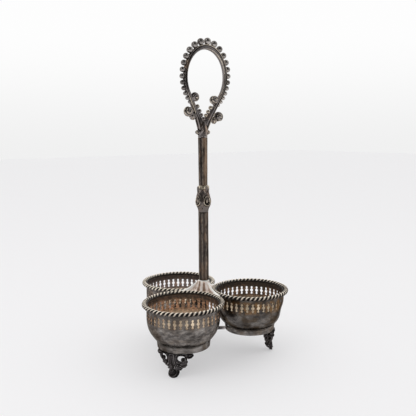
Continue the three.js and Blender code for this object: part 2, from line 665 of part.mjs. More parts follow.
const pillarTop = rimPlane + HUB_UNDERSIDE - CLEARANCE;
const pillar = tube(PILLAR_RADIUS, ROD_BORE_RADIUS, strapTop + CLEARANCE, pillarTop, 16);
const washer = tube(WASHER_RADIUS, ROD_BORE_RADIUS, washerTop - WASHER_THICKNESS, washerTop, 16);
const lowerStem = reededTube(LOWER_STEM_LENGTH, LOWER_STEM_RADIUS, LOWER_STEM_RADIUS, LOWER_REED_TURN);
const upperStem = reededTube(UPPER_STEM_LENGTH, STEM_WAIST_RADIUS, STEM_RADIUS, UPPER_REED_TURN);
aboutStem.add(piece('domed_hub', domedHub(), brightSilver, rimPlane));
aboutStem.add(piece('lower_stem', lowerStem, castSilver, lowerStemBottom));
aboutStem.add(piece('stem_knop', stemKnop(), castSilver, knopBottom));
aboutStem.add(piece('upper_stem', upperStem, castSilver, upperStemBottom));
aboutStem.add(piece('carrying_handle', carryingHandle(), castSilver, handleBottom));
aboutStem.add(piece('tie_rod', tieRod(), darkSteel));
aboutStem.add(piece('centre_pillar', closed(pillar), darkSteel));
aboutStem.add(piece('base_straps', baseStraps(), castSilver));
aboutStem.add(piece('clamp_washer', closed(washer), darkSteel));
aboutStem.add(piece('clamp_nut', hexNut(), darkSteel));

export default stand;
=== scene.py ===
# %% [markdown]
# # A stand for three decanters, in tarnished silver plate
# Three pierced bowls stand on cast feet round a tall stem with a beaded carrying ring.
# The solid model gives every piece its size and place. This lesson gives each piece its fine surface:
# twisted wire, fretwork, worn castings and a century of tarnish.

# %% The solid model
import math

import bmesh
import bpy
import numpy as np
from mathutils import Matrix, Vector


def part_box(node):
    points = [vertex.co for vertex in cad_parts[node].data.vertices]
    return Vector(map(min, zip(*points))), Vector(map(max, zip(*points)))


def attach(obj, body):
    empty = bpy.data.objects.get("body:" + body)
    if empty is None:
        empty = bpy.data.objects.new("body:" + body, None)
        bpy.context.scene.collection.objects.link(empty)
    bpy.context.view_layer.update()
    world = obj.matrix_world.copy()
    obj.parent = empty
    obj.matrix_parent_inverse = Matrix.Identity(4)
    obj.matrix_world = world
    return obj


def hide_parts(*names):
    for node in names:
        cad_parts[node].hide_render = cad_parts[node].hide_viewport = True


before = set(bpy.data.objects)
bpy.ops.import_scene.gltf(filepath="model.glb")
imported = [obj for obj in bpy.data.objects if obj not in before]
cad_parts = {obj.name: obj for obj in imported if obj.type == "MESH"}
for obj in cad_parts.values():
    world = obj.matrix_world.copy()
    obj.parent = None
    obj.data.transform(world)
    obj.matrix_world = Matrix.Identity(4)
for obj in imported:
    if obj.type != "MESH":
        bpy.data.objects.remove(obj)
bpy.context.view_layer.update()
MM = 0.001
scene = bpy.context.scene
print("nodes", len(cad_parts))

# %% [markdown]
# The camera stands where the photograph was taken from: a little above the bowls, with the pair of
# bowls to the left and right and the single one behind. It could be aimed by eye. Here its place was
# worked out from the three round rims, the feet and the upright stem, which gives every proportion, so
# it is written as a place, three angles in radians and a lens.

# %% The camera
CAMERA_PLACE = Vector((-451.4, -653.3, 302.35)) * MM
CAMERA_YAW = -0.6241
CAMERA_PITCH = 0.1299
CAMERA_ROLL = -0.0069
LENS_LENGTH = 51.05
SENSOR_WIDTH = 36.0


def add_object(name, data):
    """A new object that shows this mesh, lamp or lens, at the origin of the scene."""
    thing = bpy.data.objects.new(name, data)
    scene.collection.objects.link(thing)
    return thing


lens = bpy.data.cameras.new("lens")
lens.lens = LENS_LENGTH
lens.sensor_width = SENSOR_WIDTH
camera = add_object("camera", lens)
turn = Matrix.Rotation(CAMERA_YAW, 4, "Z") @ Matrix.Rotation(math.pi / 2 - CAMERA_PITCH, 4, "X")
camera.matrix_world = Matrix.Translation(CAMERA_PLACE) @ turn @ Matrix.Rotation(CAMERA_ROLL, 4, "Z")
scene.camera = camera
print("camera at", [round(part, 3) for part in CAMERA_PLACE], "m, lens", LENS_LENGTH, "mm")

# %% [markdown]
# Places and sizes come from the solid model. A bowl's rope rim gives its axis and the level that all
# heights in a bowl are measured from, and the stem gives the axis of everything in the middle.

# %% Places taken from the solid model
SIDES = {"left": 210, "right": -30, "rear": 90}  # which way each bowl lies from the stem, in degrees


def middle_of(node):
    """Middle of a node's box in millimetres: half the sum of its lowest and highest corners."""
    low, high = (np.array(corner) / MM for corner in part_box(node))
    return (low + high) / 2


def levels_of(node):
    """Heights of a node's lowest and highest places, in millimetres."""
    return tuple(corner.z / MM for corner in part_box(node))


stem_axis = middle_of("lower_stem") * (1, 1, 0)
rim_centres = {side: middle_of(f"{side}_rope_rim") for side in SIDES}
rim_level = rim_centres["left"][2]
bowl_spread = float(np.linalg.norm((rim_centres["rear"] - stem_axis)[:2]))
print("rim level", round(rim_level, 2), "bowl spread", round(bowl_spread, 2))

# %% [markdown]
# A surface here is a grid of points worked out as a whole array: one direction runs along the rows and
# the other round the columns. A mesh could be built face by face instead, but a grid needs no loop over
# its points. Every grid of this stand closes round its columns, and a wire bent into a ring closes its
# rows too.

# %% Grids
def grid_faces(rows, columns, close_rows=False):
    """Four-cornered faces of a grid numbered row by row: a point, the next one in its row and the two
    beside them in the next row. The first column follows the last."""
    first_rows = np.arange(rows if close_rows else rows - 1)
    row, column = np.meshgrid(first_rows, np.arange(columns), indexing="ij")
    next_row, next_column = (row + 1) % rows, (column + 1) % columns
    corners = [(row, column), (row, next_column), (next_row, next_column), (next_row, column)]
    return np.stack([r * columns + c for r, c in corners], axis=-1).reshape(-1, 4)


def shell(points, close_rows=False):
    """A grid of points, as rows x columns x 3, with the faces between them."""
    rows, columns = points.shape[:2]
    return points.reshape(-1, 3), grid_faces(rows, columns, close_rows)


def around(columns, phase=0.0):
    """Angles of equal steps round a full turn, beginning at a phase."""
    return phase + np.arange(columns) * 2 * math.pi / columns


def polar(radius, angle, height):
    """Points from the radius times the cosine and the sine of an angle, and a height."""
    return np.stack(np.broadcast_arrays(radius * np.cos(angle), radius * np.sin(angle), height), axis=-1)


def turned(radii, heights, columns, close_rows=False):
    """A profile of radii and heights carried round the upright axis, one column for each angle."""
    radius, height = np.asarray(radii, float)[:, None], np.asarray(heights, float)[:, None]
    return shell(polar(radius, around(columns)[None, :], height), close_rows)


def moved(part, place):
    """A part with a place added to each of its points."""
    return part[0] + np.asarray(place, float), part[1]


def spun(part, degrees):
    """A part turned about the upright axis: each point times the turning matrix of the angle."""
    angle = math.radians(degrees)
    cos, sin = math.cos(angle), math.sin(angle)
    return part[0] @ np.array([[cos, sin, 0], [-sin, cos, 0], [0, 0, 1]]), part[1]


print("a tube of 3 rows and 4 columns has", len(grid_faces(3, 4)), "faces")

# %% [markdown]
# A piece can be several surfaces that only touch, such as a bowl's. They are put in one mesh, whose points
# are then read and written as a single array in millimetres. Going through them one by one would
# give the same piece, only a hundred times slower.

# %% Meshes
def solid(name, parts):
    """One object from parts in millimetres, with its doubles merged and its faces turned outwards."""
    starts = np.cumsum([0] + [len(points) for points, _ in parts])
    points = np.concatenate([points for points, _ in parts]) * MM
    faces = np.concatenate([faces + start for (_, faces), start in zip(parts, starts)])
    mesh = bpy.data.meshes.new(name)
    mesh.from_pydata(points, [], faces.tolist())
    edit = bmesh.new()
    edit.from_mesh(mesh)
    bmesh.ops.remove_doubles(edit, verts=edit.verts, dist=1e-6)
    bmesh.ops.recalc_face_normals(edit, faces=edit.faces)
    edit.to_mesh(mesh)
    edit.free()
    return add_object(name, mesh)


def join(piece, other):
    """Adds the other object's mesh to the piece and removes the other object."""
    edit = bmesh.new()
    edit.from_mesh(piece.data)
    edit.from_mesh(other.data)
    edit.to_mesh(piece.data)
    edit.free()
    bpy.data.objects.remove(other)


def read_points(mesh):
    """The mesh's points in millimetres, as an array of rows of three."""
    flat = np.empty(len(mesh.vertices) * 3, np.float32)
    mesh.vertices.foreach_get("co", flat)
    return flat.reshape(-1, 3).astype(float) / MM


def write_points(mesh, points):
    """Gives the mesh these points in millimetres."""
    mesh.vertices.foreach_set("co", (points * MM).astype(np.float32).ravel())
    mesh.update()


print("the solid rope rim has", len(read_points(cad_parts["left_rope_rim"].data)), "points")

# %% [markdown]
# Other pieces are one skin over many shapes: the castings. Modifiers make that skin, give thin sheet its
# wall and round its edges. They are settled at once, so that what follows works on the finished mesh.

# %% Modifiers
def modify(piece, kind, **settings):
    """Adds a modifier of a kind and gives it its settings."""
    modifier = piece.modifiers.new(kind.lower(), kind)
    for name, value in settings.items():
        setattr(modifier, name, value)


def settle(piece):
    """Turns what the modifiers make into the piece's own mesh."""
    view = bpy.context.evaluated_depsgraph_get()
    mesh = bpy.data.meshes.new_from_object(piece.evaluated_get(view))
    piece.modifiers.clear()
    piece.data = mesh
    mesh.name = piece.name
    return piece


def fuse(piece, voxel, smoothing):
    """Casts overlapping parts into one skin of cells as wide as a voxel in millimetres, then moves each
    point halfway to its neighbours, as many times as smoothing says."""
    modify(piece, "REMESH", mode="VOXEL", voxel_size=voxel * MM)
    modify(piece, "SMOOTH", factor=0.5, iterations=smoothing)
    settle(piece)


# %% [markdown]
# Tarnish gathers in hollows and hands rub the high places bright. The shader could look for edges by
# itself, but that works in the render only. So each mesh gets a number at every point, called crest: 0
# in a hollow, 1 on a ridge and one half on the flat. It compares the surface with a smoothed copy of
# itself, which sinks below ridges and rises above hollows.

# %% Ridges and hollows
EDGE_TURN = 0.5


def mesh_arrays(mesh):
    """Points in millimetres, their normals and the two ends of every edge."""
    normals = np.empty(len(mesh.vertices) * 3, np.float32)
    mesh.vertices.foreach_get("normal", normals)
    ends = np.empty(len(mesh.edges) * 2, np.int32)
    mesh.edges.foreach_get("vertices", ends)
    return read_points(mesh), normals.reshape(-1, 3).astype(float), ends.reshape(-1, 2).T


def spread(values, ends, rounds):
    """Smooths values over a mesh: each round moves a point halfway to the mean of its neighbours."""
    first, second = ends
    count = len(values)
    links = np.maximum(np.bincount(first, minlength=count) + np.bincount(second, minlength=count), 1)
    for _ in range(rounds):
        total = np.stack([
            np.bincount(first, column[second], count) + np.bincount(second, column[first], count)
            for column in values.T
        ], axis=-1)
        values = (values + total / links[:, None]) / 2
    return values


def write_field(piece, name, values):
    """Writes a number from 0 to 1 at every point, under a name that a finish can read."""
    layer = piece.data.attributes.get(name) or piece.data.attributes.new(name, "FLOAT", "POINT")
    layer.data.foreach_set("value", np.clip(values, 0, 1).astype(np.float32))
    return piece


def mark_crests(piece, rounds=12, height=0.25):
    """Writes crest: one half, plus half of how far a point stands out of its smoothed surroundings,
    divided by a height in millimetres. More rounds of smoothing find broader ridges."""
    points, normals, ends = mesh_arrays(piece.data)
    proud = np.sum((points - spread(points, ends, rounds)) * normals, axis=1)
    return write_field(piece, "crest", 0.5 + 0.5 * proud / height)


def mark_edges(piece):
    """Writes crest on plain sheet: how much the normals turn round a point, so that only edges count."""
    _, normals, ends = mesh_arrays(piece.data)
    bend = np.linalg.norm(normals - spread(normals, ends, 1), axis=1)
    return write_field(piece, "crest", 0.5 + 0.5 * bend / EDGE_TURN)


def lower_crest(piece, drop):
    """Takes an amount, worked out from the points in millimetres, off a piece's crest."""
    crest = np.empty(len(piece.data.vertices), np.float32)
    piece.data.attributes["crest"].data.foreach_get("value", crest)
    write_field(piece, "crest", crest - drop(read_points(piece.data)))


smoothed = spread(np.array([[0.0], [1.0]]), np.array([[0], [1]]), 1)
print("0 and 1 at the two ends of an edge, smoothed once:", smoothed.ravel())

# %% [markdown]
# Two sums return in many pieces. Knocks make a surface gently uneven, like metal that was handled for a
# century: waves in all directions added together. A ridge is a smooth hump, high where its distance is 0.

# %% Knocks and ridges
KNOCK_WAVES = 14


def knocks(points, seed, size):
    """Unevenness about 0: the sum of sine waves in seeded directions, each about a size in mm long, over
    the square root of their number."""
    pick = np.random.default_rng(seed)
    direction = pick.normal(size=(KNOCK_WAVES, 3))
    direction /= np.linalg.norm(direction, axis=1, keepdims=True)
    length = size * pick.uniform(0.7, 1.6, KNOCK_WAVES)
    phase = pick.uniform(0, 2 * math.pi, KNOCK_WAVES)
    turns = points @ (direction * 2 * math.pi / length[:, None]).T + phase
    return np.sin(turns).sum(axis=1) / math.sqrt(KNOCK_WAVES)


def ridge(distance, width):
    """1 where the distance is 0, falling away on both sides as e to minus its square over the width's."""
    return np.exp(-(distance / width) ** 2)


print("a ridge at its own width is", round(float(ridge(1.0, 1.0)), 2))

# %% [markdown]
# A finished piece stands for one node of the solid model. It takes its finish and rides on the one body
# that the stand is.

# %% Dressing a piece
def dress(piece, node, finish):
    """Shades a piece smooth, gives it its finish and lets it stand for a node of the solid model."""
    mesh = piece.data
    mesh.polygons.foreach_set("use_smooth", np.ones(len(mesh.polygons), bool))
    mesh.materials.clear()
    mesh.materials.append(finish)
    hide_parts(node)
    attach(piece, "root")
    print(piece.name, len(mesh.vertices), "points")


# %% [markdown]
# A finish is a set of shader nodes. They could be placed and linked one by one, but then nobody can
# read the recipe. Written as Python sums it stays readable: a Field is a number or a colour that
# varies over the surface, and each sum on it adds a node.

# %% Shader sums
class Field:
    """An output socket that takes part in sums. Each sum adds a Math node and gives its output."""

    def __init__(self, shading, socket):
        self.shading, self.socket = shading, socket

    def sum(self, operation, first, second):
        """Adds the Math node of an operation."""
        return self.shading.node("ShaderNodeMath", {"operation": operation}, {0: first, 1: second})

    def __add__(self, other):
        return self.sum("ADD", self, other)

    def __sub__(self, other):
        return self.sum("SUBTRACT", self, other)

    def __rsub__(self, other):
        return self.sum("SUBTRACT", other, self)

    def __mul__(self, other):
        return self.sum("MULTIPLY", self, other)

    __radd__, __rmul__ = __add__, __mul__


print("a field takes part in sums with + - *")

# %% [markdown]
# Materials and the world hold the same kind of node tree. One class builds both: it adds any node from
# its type, its settings and its inputs, and it knows the shader that the tree ends in.

# %% Shading
class Shading:
    """The nodes of a material or of the world, and short ways to add to them."""

    def __init__(self, owner, shader, coordinates):
        owner.use_nodes = True
        self.tree = owner.node_tree
        self.shader = self.tree.nodes[shader]
        self.place = self.node("ShaderNodeTexCoord", output=coordinates)

    def node(self, kind, settings=None, inputs=None, output=0):
        """Adds a node: its settings first, then a value or a link for each named input."""
        node = self.tree.nodes.new(kind)
        settings = dict(settings or {})
        stops = settings.pop("stops", None)
        for key, value in settings.items():
            setattr(node, key, value)
        if stops:
            ramp = node.color_ramp
            while len(ramp.elements) < len(stops):
                ramp.elements.new(0.5)
            for element, (position, colour) in zip(ramp.elements, stops):
                element.position = position
                element.color = (*colour, 1)
        for key, value in (inputs or {}).items():
            self.feed(node.inputs[key], value)
        return Field(self, node.outputs[output])

    def feed(self, socket, value):
        """Links a field to a socket, or writes a constant there."""
        if isinstance(value, Field):
            self.tree.links.new(value.socket, socket)
        else:
            socket.default_value = value

    def set(self, **values):
        """Feeds the shader's sockets, named with underscores for spaces."""
        for key, value in values.items():
            self.feed(self.shader.inputs[key.replace("_", " ")], value)

    def rise(self, field, low, high, start=0.0, end=1.0):
        """Start below low, end above high, and a smooth slope between."""
        inputs = {"Value": field, "From Min": low, "From Max": high, "To Min": start, "To Max": end}
        return self.node("ShaderNodeMapRange", {"interpolation_type": "SMOOTHSTEP"}, inputs)

    def ray(self, kind):
        """1 for rays of a kind, such as Camera or Glossy, and 0 for all others."""
        return self.node("ShaderNodeLightPath", output=f"Is {kind} Ray")


# %% [markdown]
# A finish is the shading of one material. It reads Object coordinates, which measure the same on every
# piece, so a stain that is written as 5 mm is 5 mm wide wherever it lies. Noise, ramps, mixes and
# bumps are all that tarnish needs.

# %% Finish
class Finish(Shading):
    """A material that reads Object coordinates, and the patterns that tarnish is made of."""

    def __init__(self, name):
        self.material = bpy.data.materials.new(name)
        super().__init__(self.material, "Principled BSDF", "Object")

    def noise(self, size, detail=4, stretch=(1, 1, 1), roughness=0.55):
        """Cloudy noise with patches of about a size in millimetres."""
        scaled = self.node("ShaderNodeVectorMath", {"operation": "MULTIPLY"}, {0: self.place, 1: stretch})
        inputs = {"Vector": scaled, "Scale": 1 / (size * MM), "Detail": detail, "Roughness": roughness}
        return self.node("ShaderNodeTexNoise", {}, inputs)

    def ramp(self, field, *stops):
        """The colour of the stops at a field's value, blended between them."""
        return self.node("ShaderNodeValToRGB", {"stops": stops}, {"Fac": field})

    def mix(self, share, first, second):
        """The first colour where share is 0 and the second where it is 1."""
        first, second = ((*c, 1) if isinstance(c, tuple) else c for c in (first, second))
        return self.node("ShaderNodeMix", {"data_type": "RGBA"}, {0: share, 6: first, 7: second}, output=2)

    def field(self, name):
        """A number that the mesh carries at every point."""
        return self.node("ShaderNodeAttribute", {"attribute_name": name}, output="Fac")

    def level(self):
        """Height above the floor, in millimetres."""
        return self.node("ShaderNodeSeparateXYZ", {}, {0: self.place}, output="Z") * (1 / MM)

    def bump(self, height, strength, distance):
        """Normals tilted as if the surface rose by the height times a distance in millimetres."""
        inputs = {"Height": height, "Strength": strength, "Distance": distance * MM}
        return self.node("ShaderNodeBump", {}, inputs)


# %% [markdown]
# ## Finishes
# Thin silver on base metal wears unevenly: it blackens in hollows, browns in patches and shows
# the warmer metal where hands and cloths have been. Colours could be painted on point by point, but
# tarnish follows the shape, so each finish here mixes clouds of noise with crest. Sheet comes first.
# It is grey, cool and warm, with olive-brown stains in patches.

# %% Sheet plate
# black of tarnish in hollows, also used for the painted shadow under each rope
TARNISH_AND_SHADE_BLACK = (0.014, 0.012, 0.011)
DARK_TARNISH = (0.045, 0.038, 0.034)
BROWN_TARNISH = (0.11, 0.075, 0.045)
PALE_BROWN = (0.30, 0.235, 0.17)
DARK_GREY = (0.075, 0.067, 0.062)
MIDDLE_GREY = (0.17, 0.155, 0.146)
GREY_TARNISH = (0.29, 0.265, 0.247)
PALE_GREY = (0.47, 0.437, 0.41)
CREAM_PLATE = (0.80, 0.70, 0.55)
OLIVE_STAIN = (0.125, 0.095, 0.045)
DULL_EDGE = (0.38, 0.36, 0.34, 1)
PLATE_METAL = 0.93


def sheet_colour(finish, stain):
    """Outside of tarnished sheet: grey clouds, turned warm in patches and olive in spots, by the stain.
    Gives the colour and the fine mottle in it."""
    clouds = finish.noise(16, detail=4, roughness=0.5)
    mottle = finish.noise(5.5, detail=4, stretch=(1, 1, 1.9), roughness=0.55)
    tone = clouds * 0.5 + mottle * 0.5
    greys = ((0.36, DARK_GREY), (0.46, MIDDLE_GREY), (0.54, GREY_TARNISH), (0.66, PALE_GREY))
    browns = ((0.36, DARK_TARNISH), (0.54, BROWN_TARNISH), (0.72, PALE_BROWN))
    patches = finish.rise(finish.noise(12, detail=4) + mottle * 0.3, 0.58, 0.80)
    warmth = patches * (0.35 + stain * 0.65)
    colour = finish.mix(warmth, finish.ramp(tone, *greys), finish.ramp(tone, *browns))
    spots = finish.rise(finish.noise(5.5, detail=6, roughness=0.7), 0.60, 0.72)
    return finish.mix(spots * stain, colour, OLIVE_STAIN), mottle


def edge_wear(finish, colour, wear):
    """The colour turned to bare cream plate where crest is high, as far as wear says."""
    return finish.mix(finish.rise(finish.field("crest"), 0.6, 1.0) * wear, colour, CREAM_PLATE)


def sheet_surface(finish, colour, mottle, roughness, metallic):
    """Feeds the shader of a sheet: mottle also roughens it, and with fine grain it makes its bumps."""
    grain = finish.noise(0.8, detail=3)
    finish.set(Base_Color=colour, Roughness=roughness + mottle * 0.24, Metallic=metallic)
    finish.set(Specular_Tint=DULL_EDGE)
    finish.set(Normal=finish.bump(grain * 0.4 + mottle * 0.6, 0.2, 0.3))
    return finish.material


def sheet_plate(name, stain, shade):
    """Plain tarnished sheet, darkened by its shade."""
    finish = Finish(name)
    colour, mottle = sheet_colour(finish, stain)
    colour = edge_wear(finish, finish.mix(shade, colour, TARNISH_AND_SHADE_BLACK), 0.35)
    return sheet_surface(finish, colour, mottle, 0.2, PLATE_METAL)


print("greys of the sheet run from", DARK_GREY, "to", PALE_GREY)

# %% [markdown]
# A bowl has two sides. Outside it is sheet like the rest, browner over the fretwork, with the rope's shadow
# painted nearly black under it. Inside, a warm pool of light is painted golden low down, copper shows
# through above it, and the last finger's breadth under the rim is painted black as the rim's shadow.
# A field called inside tells the two sides apart, so one material serves for both and the holes' edges
# belong to the side that they face.

# %% Bowl plate
FRET_RISE, FRET_FALL = (-24, -17), (-9, -3)  # heights under the rim between which a stain grows and fades
# heights under the rim of the rope's painted shadow outside, the rim's painted shadow inside and the black
# lip
ROPE_PAINTED_SHADOW, RIM_DARKENING, LIP_BLACK = (-8, -1), (-13, -4), (-2, -1)
# heights under the rim where the painted golden light low in a bowl grows and fades
GOLDEN_LIGHT_RISE, GOLDEN_LIGHT_FALL = (-48, -43), (-32, -19)
RUST_STAIN = (0.30, 0.17, 0.075)
WORN_COPPER = (0.66, 0.37, 0.23)
DARK_SPECK = (0.075, 0.05, 0.033)
BRIGHT_SPECK = (0.95, 0.66, 0.47)
RIM_SHADOW = (0.05, 0.042, 0.037)
# colour of the painted light low inside a bowl
PAINTED_GOLDEN_LIGHT = (1.0, 0.83, 0.62)
INSIDE_DULLING = 0.55


def outside_colour(finish, depth, clouds, stain, shade, band_stain):
    """Sheet, with rust in clouds over the fretted band and a painted shadow of the rope under it.
    Gives the colour and its mottle."""
    colour, mottle = sheet_colour(finish, stain)
    colour = finish.mix(shade, colour, TARNISH_AND_SHADE_BLACK)
    band = finish.rise(depth, *FRET_RISE) * (1 - finish.rise(depth, *FRET_FALL))
    colour = finish.mix(band * finish.rise(clouds, 0.42, 0.62) * band_stain, colour, RUST_STAIN)
    # darker over the fretted band, and the rope's shadow painted nearly black below the rim
    colour = finish.mix(band * 0.3 + finish.rise(depth, *ROPE_PAINTED_SHADOW) * 0.6, colour, TARNISH_AND_SHADE_BLACK)
    return edge_wear(finish, colour, 0.7), mottle


def inside_colour(finish, depth, clouds, mid_tone, glow):
    """From the mid tone to copper in patches, with dark and bright specks, then a painted shadow towards
    the rim and painted golden light towards the floor. Glow says how much of the copper and the bright
    specks there is."""
    specks = finish.noise(3.2, detail=4, roughness=0.6)
    patches = finish.rise(clouds * 0.5 + specks * 0.5, 0.48, 0.57) * glow
    colour = finish.mix(patches, mid_tone, WORN_COPPER)
    colour = finish.mix((1 - finish.rise(specks, 0.38, 0.52)) * 0.6, colour, DARK_SPECK)
    colour = finish.mix(finish.rise(specks, 0.56, 0.68) * glow * 0.75, colour, BRIGHT_SPECK)
    # painted shadow of the rim on the inside wall just below it
    colour = finish.mix(finish.rise(depth, *RIM_DARKENING) * 0.88, colour, RIM_SHADOW)
    # painted light: a warm golden pool low inside the bowl
    gold = (1 - finish.rise(depth, *GOLDEN_LIGHT_FALL)) * (0.62 + finish.rise(clouds, 0.36, 0.56) * 0.38)
    return finish.mix(gold * finish.rise(depth, *GOLDEN_LIGHT_RISE), colour, PAINTED_GOLDEN_LIGHT)


def bowl_plate(name, stain, shade, band_stain, mid_tone, glow):
    """Both sides of a bowl, mixed by the field called inside, under a black lip."""
    finish = Finish(name)
    clouds = finish.noise(9, detail=5, roughness=0.62)
    depth = finish.level() - rim_level
    outside, mottle = outside_colour(finish, depth, clouds, stain, shade, band_stain)
    inside = finish.field("inside")
    colour = finish.mix(inside, outside, inside_colour(finish, depth, clouds, mid_tone, glow))
    colour = finish.mix(finish.rise(depth, *LIP_BLACK) * 0.8, colour, TARNISH_AND_SHADE_BLACK)
    return sheet_surface(finish, colour, mottle, 0.13, PLATE_METAL - inside * INSIDE_DULLING)


print("gold inside a bowl lies from", -GOLDEN_LIGHT_RISE[0], "to", -GOLDEN_LIGHT_FALL[1], "mm below its rim")

# %% [markdown]
# The castings and the reeded stem have deep grooves, and so the strongest contrast: black hollows,
# grey-brown flats and worn cream ridges. Two more fields serve the handle and the stem. One marks painted
# warm highlights, and polish marks what fingers rub clean, the ring's beads. One recipe makes all four
# finishes, because they differ only in how dark their flats are and how hard they were rubbed.

# %% Cast plate
CAST_METAL = 0.94
CAST_BROWN = (0.25, 0.155, 0.10)
# colour of the painted warm highlights
PAINTED_GLINT_COLOUR = (0.50, 0.345, 0.235)
POLISHED_STOPS = ((0.36, (0.19, 0.175, 0.165)), (0.62, (0.62, 0.58, 0.545)))


def cast_plate(
    name, flats, contrast, streak=(1, 1, 1), rub=1.0, size=9, rough=0.22, brown=0.4, worn=CREAM_PLATE
):
    """Flats of clouds darker and paler than their middle by a contrast, black where crest is low,
    and worn where crest and grain together are high, as far as rub says."""
    finish = Finish(name)
    clouds = finish.noise(size, detail=5, stretch=streak)
    grain = finish.noise(size / 6, detail=4, stretch=streak)
    crest, polish = finish.field("crest"), finish.field("polish")
    dark, pale = (tuple(times * part for part in flats) for times in (1 - contrast, 1 + contrast))
    colour = finish.ramp(clouds * 0.62 + grain * 0.38, (0.34, dark), (0.50, flats), (0.68, pale))
    patches = finish.rise(finish.noise(size * 0.7, detail=3, stretch=streak), 0.50, 0.66)
    colour = finish.mix(patches * brown, colour, CAST_BROWN)
    colour = finish.mix(finish.rise(0.5 - crest, 0.06, 0.34), colour, TARNISH_AND_SHADE_BLACK)
    colour = finish.mix(finish.rise(crest + grain * 0.35, 0.84, 1.18) * rub, colour, worn)
    # painted warm highlights, where the mesh's field asks for them
    colour = finish.mix(finish.field("painted_glint") * finish.rise(clouds, 0.38, 0.60), colour, PAINTED_GLINT_COLOUR)
    colour = finish.mix(polish, colour, finish.ramp(clouds, *POLISHED_STOPS))
    roughness = (rough + grain * 0.25) * (1 - polish * 0.45)
    finish.set(Base_Color=colour, Roughness=roughness, Metallic=CAST_METAL, Specular_Tint=DULL_EDGE)
    finish.set(Normal=finish.bump(grain, 0.12, 0.2))
    return finish.material


FOOT_FLATS, FOOT_RIDGES = (0.082, 0.075, 0.077), (0.52, 0.485, 0.47)
KNOP_FLATS = (0.17, 0.147, 0.135)
HANDLE_FLATS = (0.225, 0.205, 0.20)
STEM_FLATS = (0.082, 0.068, 0.062)
FOOT_CAST = cast_plate("foot plate", FOOT_FLATS, 0.2, rough=0.1, brown=0.04, worn=FOOT_RIDGES)
KNOP_CAST = cast_plate("knop plate", KNOP_FLATS, 0.3, rough=0.16)
HANDLE_CAST = cast_plate("handle plate", HANDLE_FLATS, 0.3, rub=0.9, size=16, rough=0.05, brown=0.22)
STEM_CAST = cast_plate("stem plate", STEM_FLATS, 0.9, streak=(1, 1, 0.3), rub=0.6, size=8, brown=0.45)
print("cast:", ", ".join(cast.name for cast in (FOOT_CAST, KNOP_CAST, HANDLE_CAST, STEM_CAST)))

# %% [markdown]
# The rope rims and the hub were rubbed until they shone, and only their grooves are dark. The ropes
# also carry painted shade underneath and on two sides, and some are brightened by painted light. There one
# ramp over crest is enough, shifted a little by clouds so that no two strands match. The rod, nut and
# washer below are steel that was never plated.

# %% Rubbed plate and steel
ROPE_STOPS = (
    (0.30, (0.012, 0.010, 0.009)),
    (0.46, (0.09, 0.072, 0.058)),
    (0.62, (0.50, 0.42, 0.345)),
    (0.78, (1.0, 0.91, 0.77)),
)
HUB_STOPS = (
    (0.12, (0.26, 0.17, 0.12)),
    (0.34, (0.50, 0.36, 0.28)),
    (0.45, (0.88, 0.74, 0.66)),
    (0.56, (1.0, 0.91, 0.85)),
    (0.80, (1.0, 0.98, 0.94)),
)
STEEL_STOPS = ((0.35, (0.022, 0.020, 0.019)), (0.6, (0.09, 0.085, 0.08)))
STEEL_METAL = 0.85


def rubbed_plate(name, stops, metal, size=11, rough=0.24, painted_brightening=0.0):
    """A ramp over crest plus shares of clouds and grain, all of it shifted to the bright end by painted
    light.
    """
    finish = Finish(name)
    clouds = finish.noise(size, detail=5, roughness=0.6)
    grain = finish.noise(1.2, detail=4)
    crest = finish.field("crest") + (clouds - 0.5) * 0.7 + (grain - 0.5) * 0.35 + painted_brightening
    finish.set(Base_Color=finish.ramp(crest, *stops), Roughness=rough + grain * 0.22, Metallic=metal)
    finish.set(Normal=finish.bump(grain, 0.2, 0.2))
    return finish.material


def dull_steel():
    """Fine grain runs from nearly black to dark grey, and roughens the metal as it pales."""
    finish = Finish("dull steel")
    grain = finish.noise(1.4, detail=5)
    colour = finish.ramp(grain, *STEEL_STOPS)
    finish.set(Base_Color=colour, Roughness=0.4 + grain * 0.25, Metallic=STEEL_METAL)
    finish.set(Normal=finish.bump(grain, 0.25, 0.2))
    return finish.material


HUB_PLATE = rubbed_plate("hub plate", HUB_STOPS, metal=0.4, size=7, rough=0.28)
STEEL = dull_steel()
print("rubbed and bare:", HUB_PLATE.name, "and", STEEL.name)

# %% [markdown]
# ## The bowls
# Each bowl is a spun sheet with a row of fretted balusters under its rim. The holes could be cut out with
# a Boolean modifier, but forty cuts leave ragged faces. So the sheet is drawn as one thin surface: a
# turned strip above the fretwork, a turned curve below it and a cell round each hole between them. A
# cell runs from the hole's outline out to its own border, so the hole is real and its edge is clean.

# %% Cells of the fretwork
BOWL_RADIUS = 46.5
PIERCINGS = 40
HOLE_BOTTOM, HOLE_TOP = -19.4, -8.0
# Each lobe of a hole: its share of the height, half width and half height.
HOLE_LOBES = ((0.13, 1.5, 1.5), (0.5, 2.15, 2.3), (0.865, 1.55, 1.55))
HOLE_NECK = 0.72
HOLE_STEPS = 24
CELL_MARGIN = 1.0
CELL_CORNER = 4
CELL_RINGS = (0, 0.25, 0.6, 1.0)


def mirrored_loop(half_width, up):
    """A closed loop of (along the wall, up it): the right half upwards and its mirror image down."""
    right = np.stack([half_width, up], axis=-1)
    return np.concatenate([right, right[-2:0:-1] * (-1, 1)])


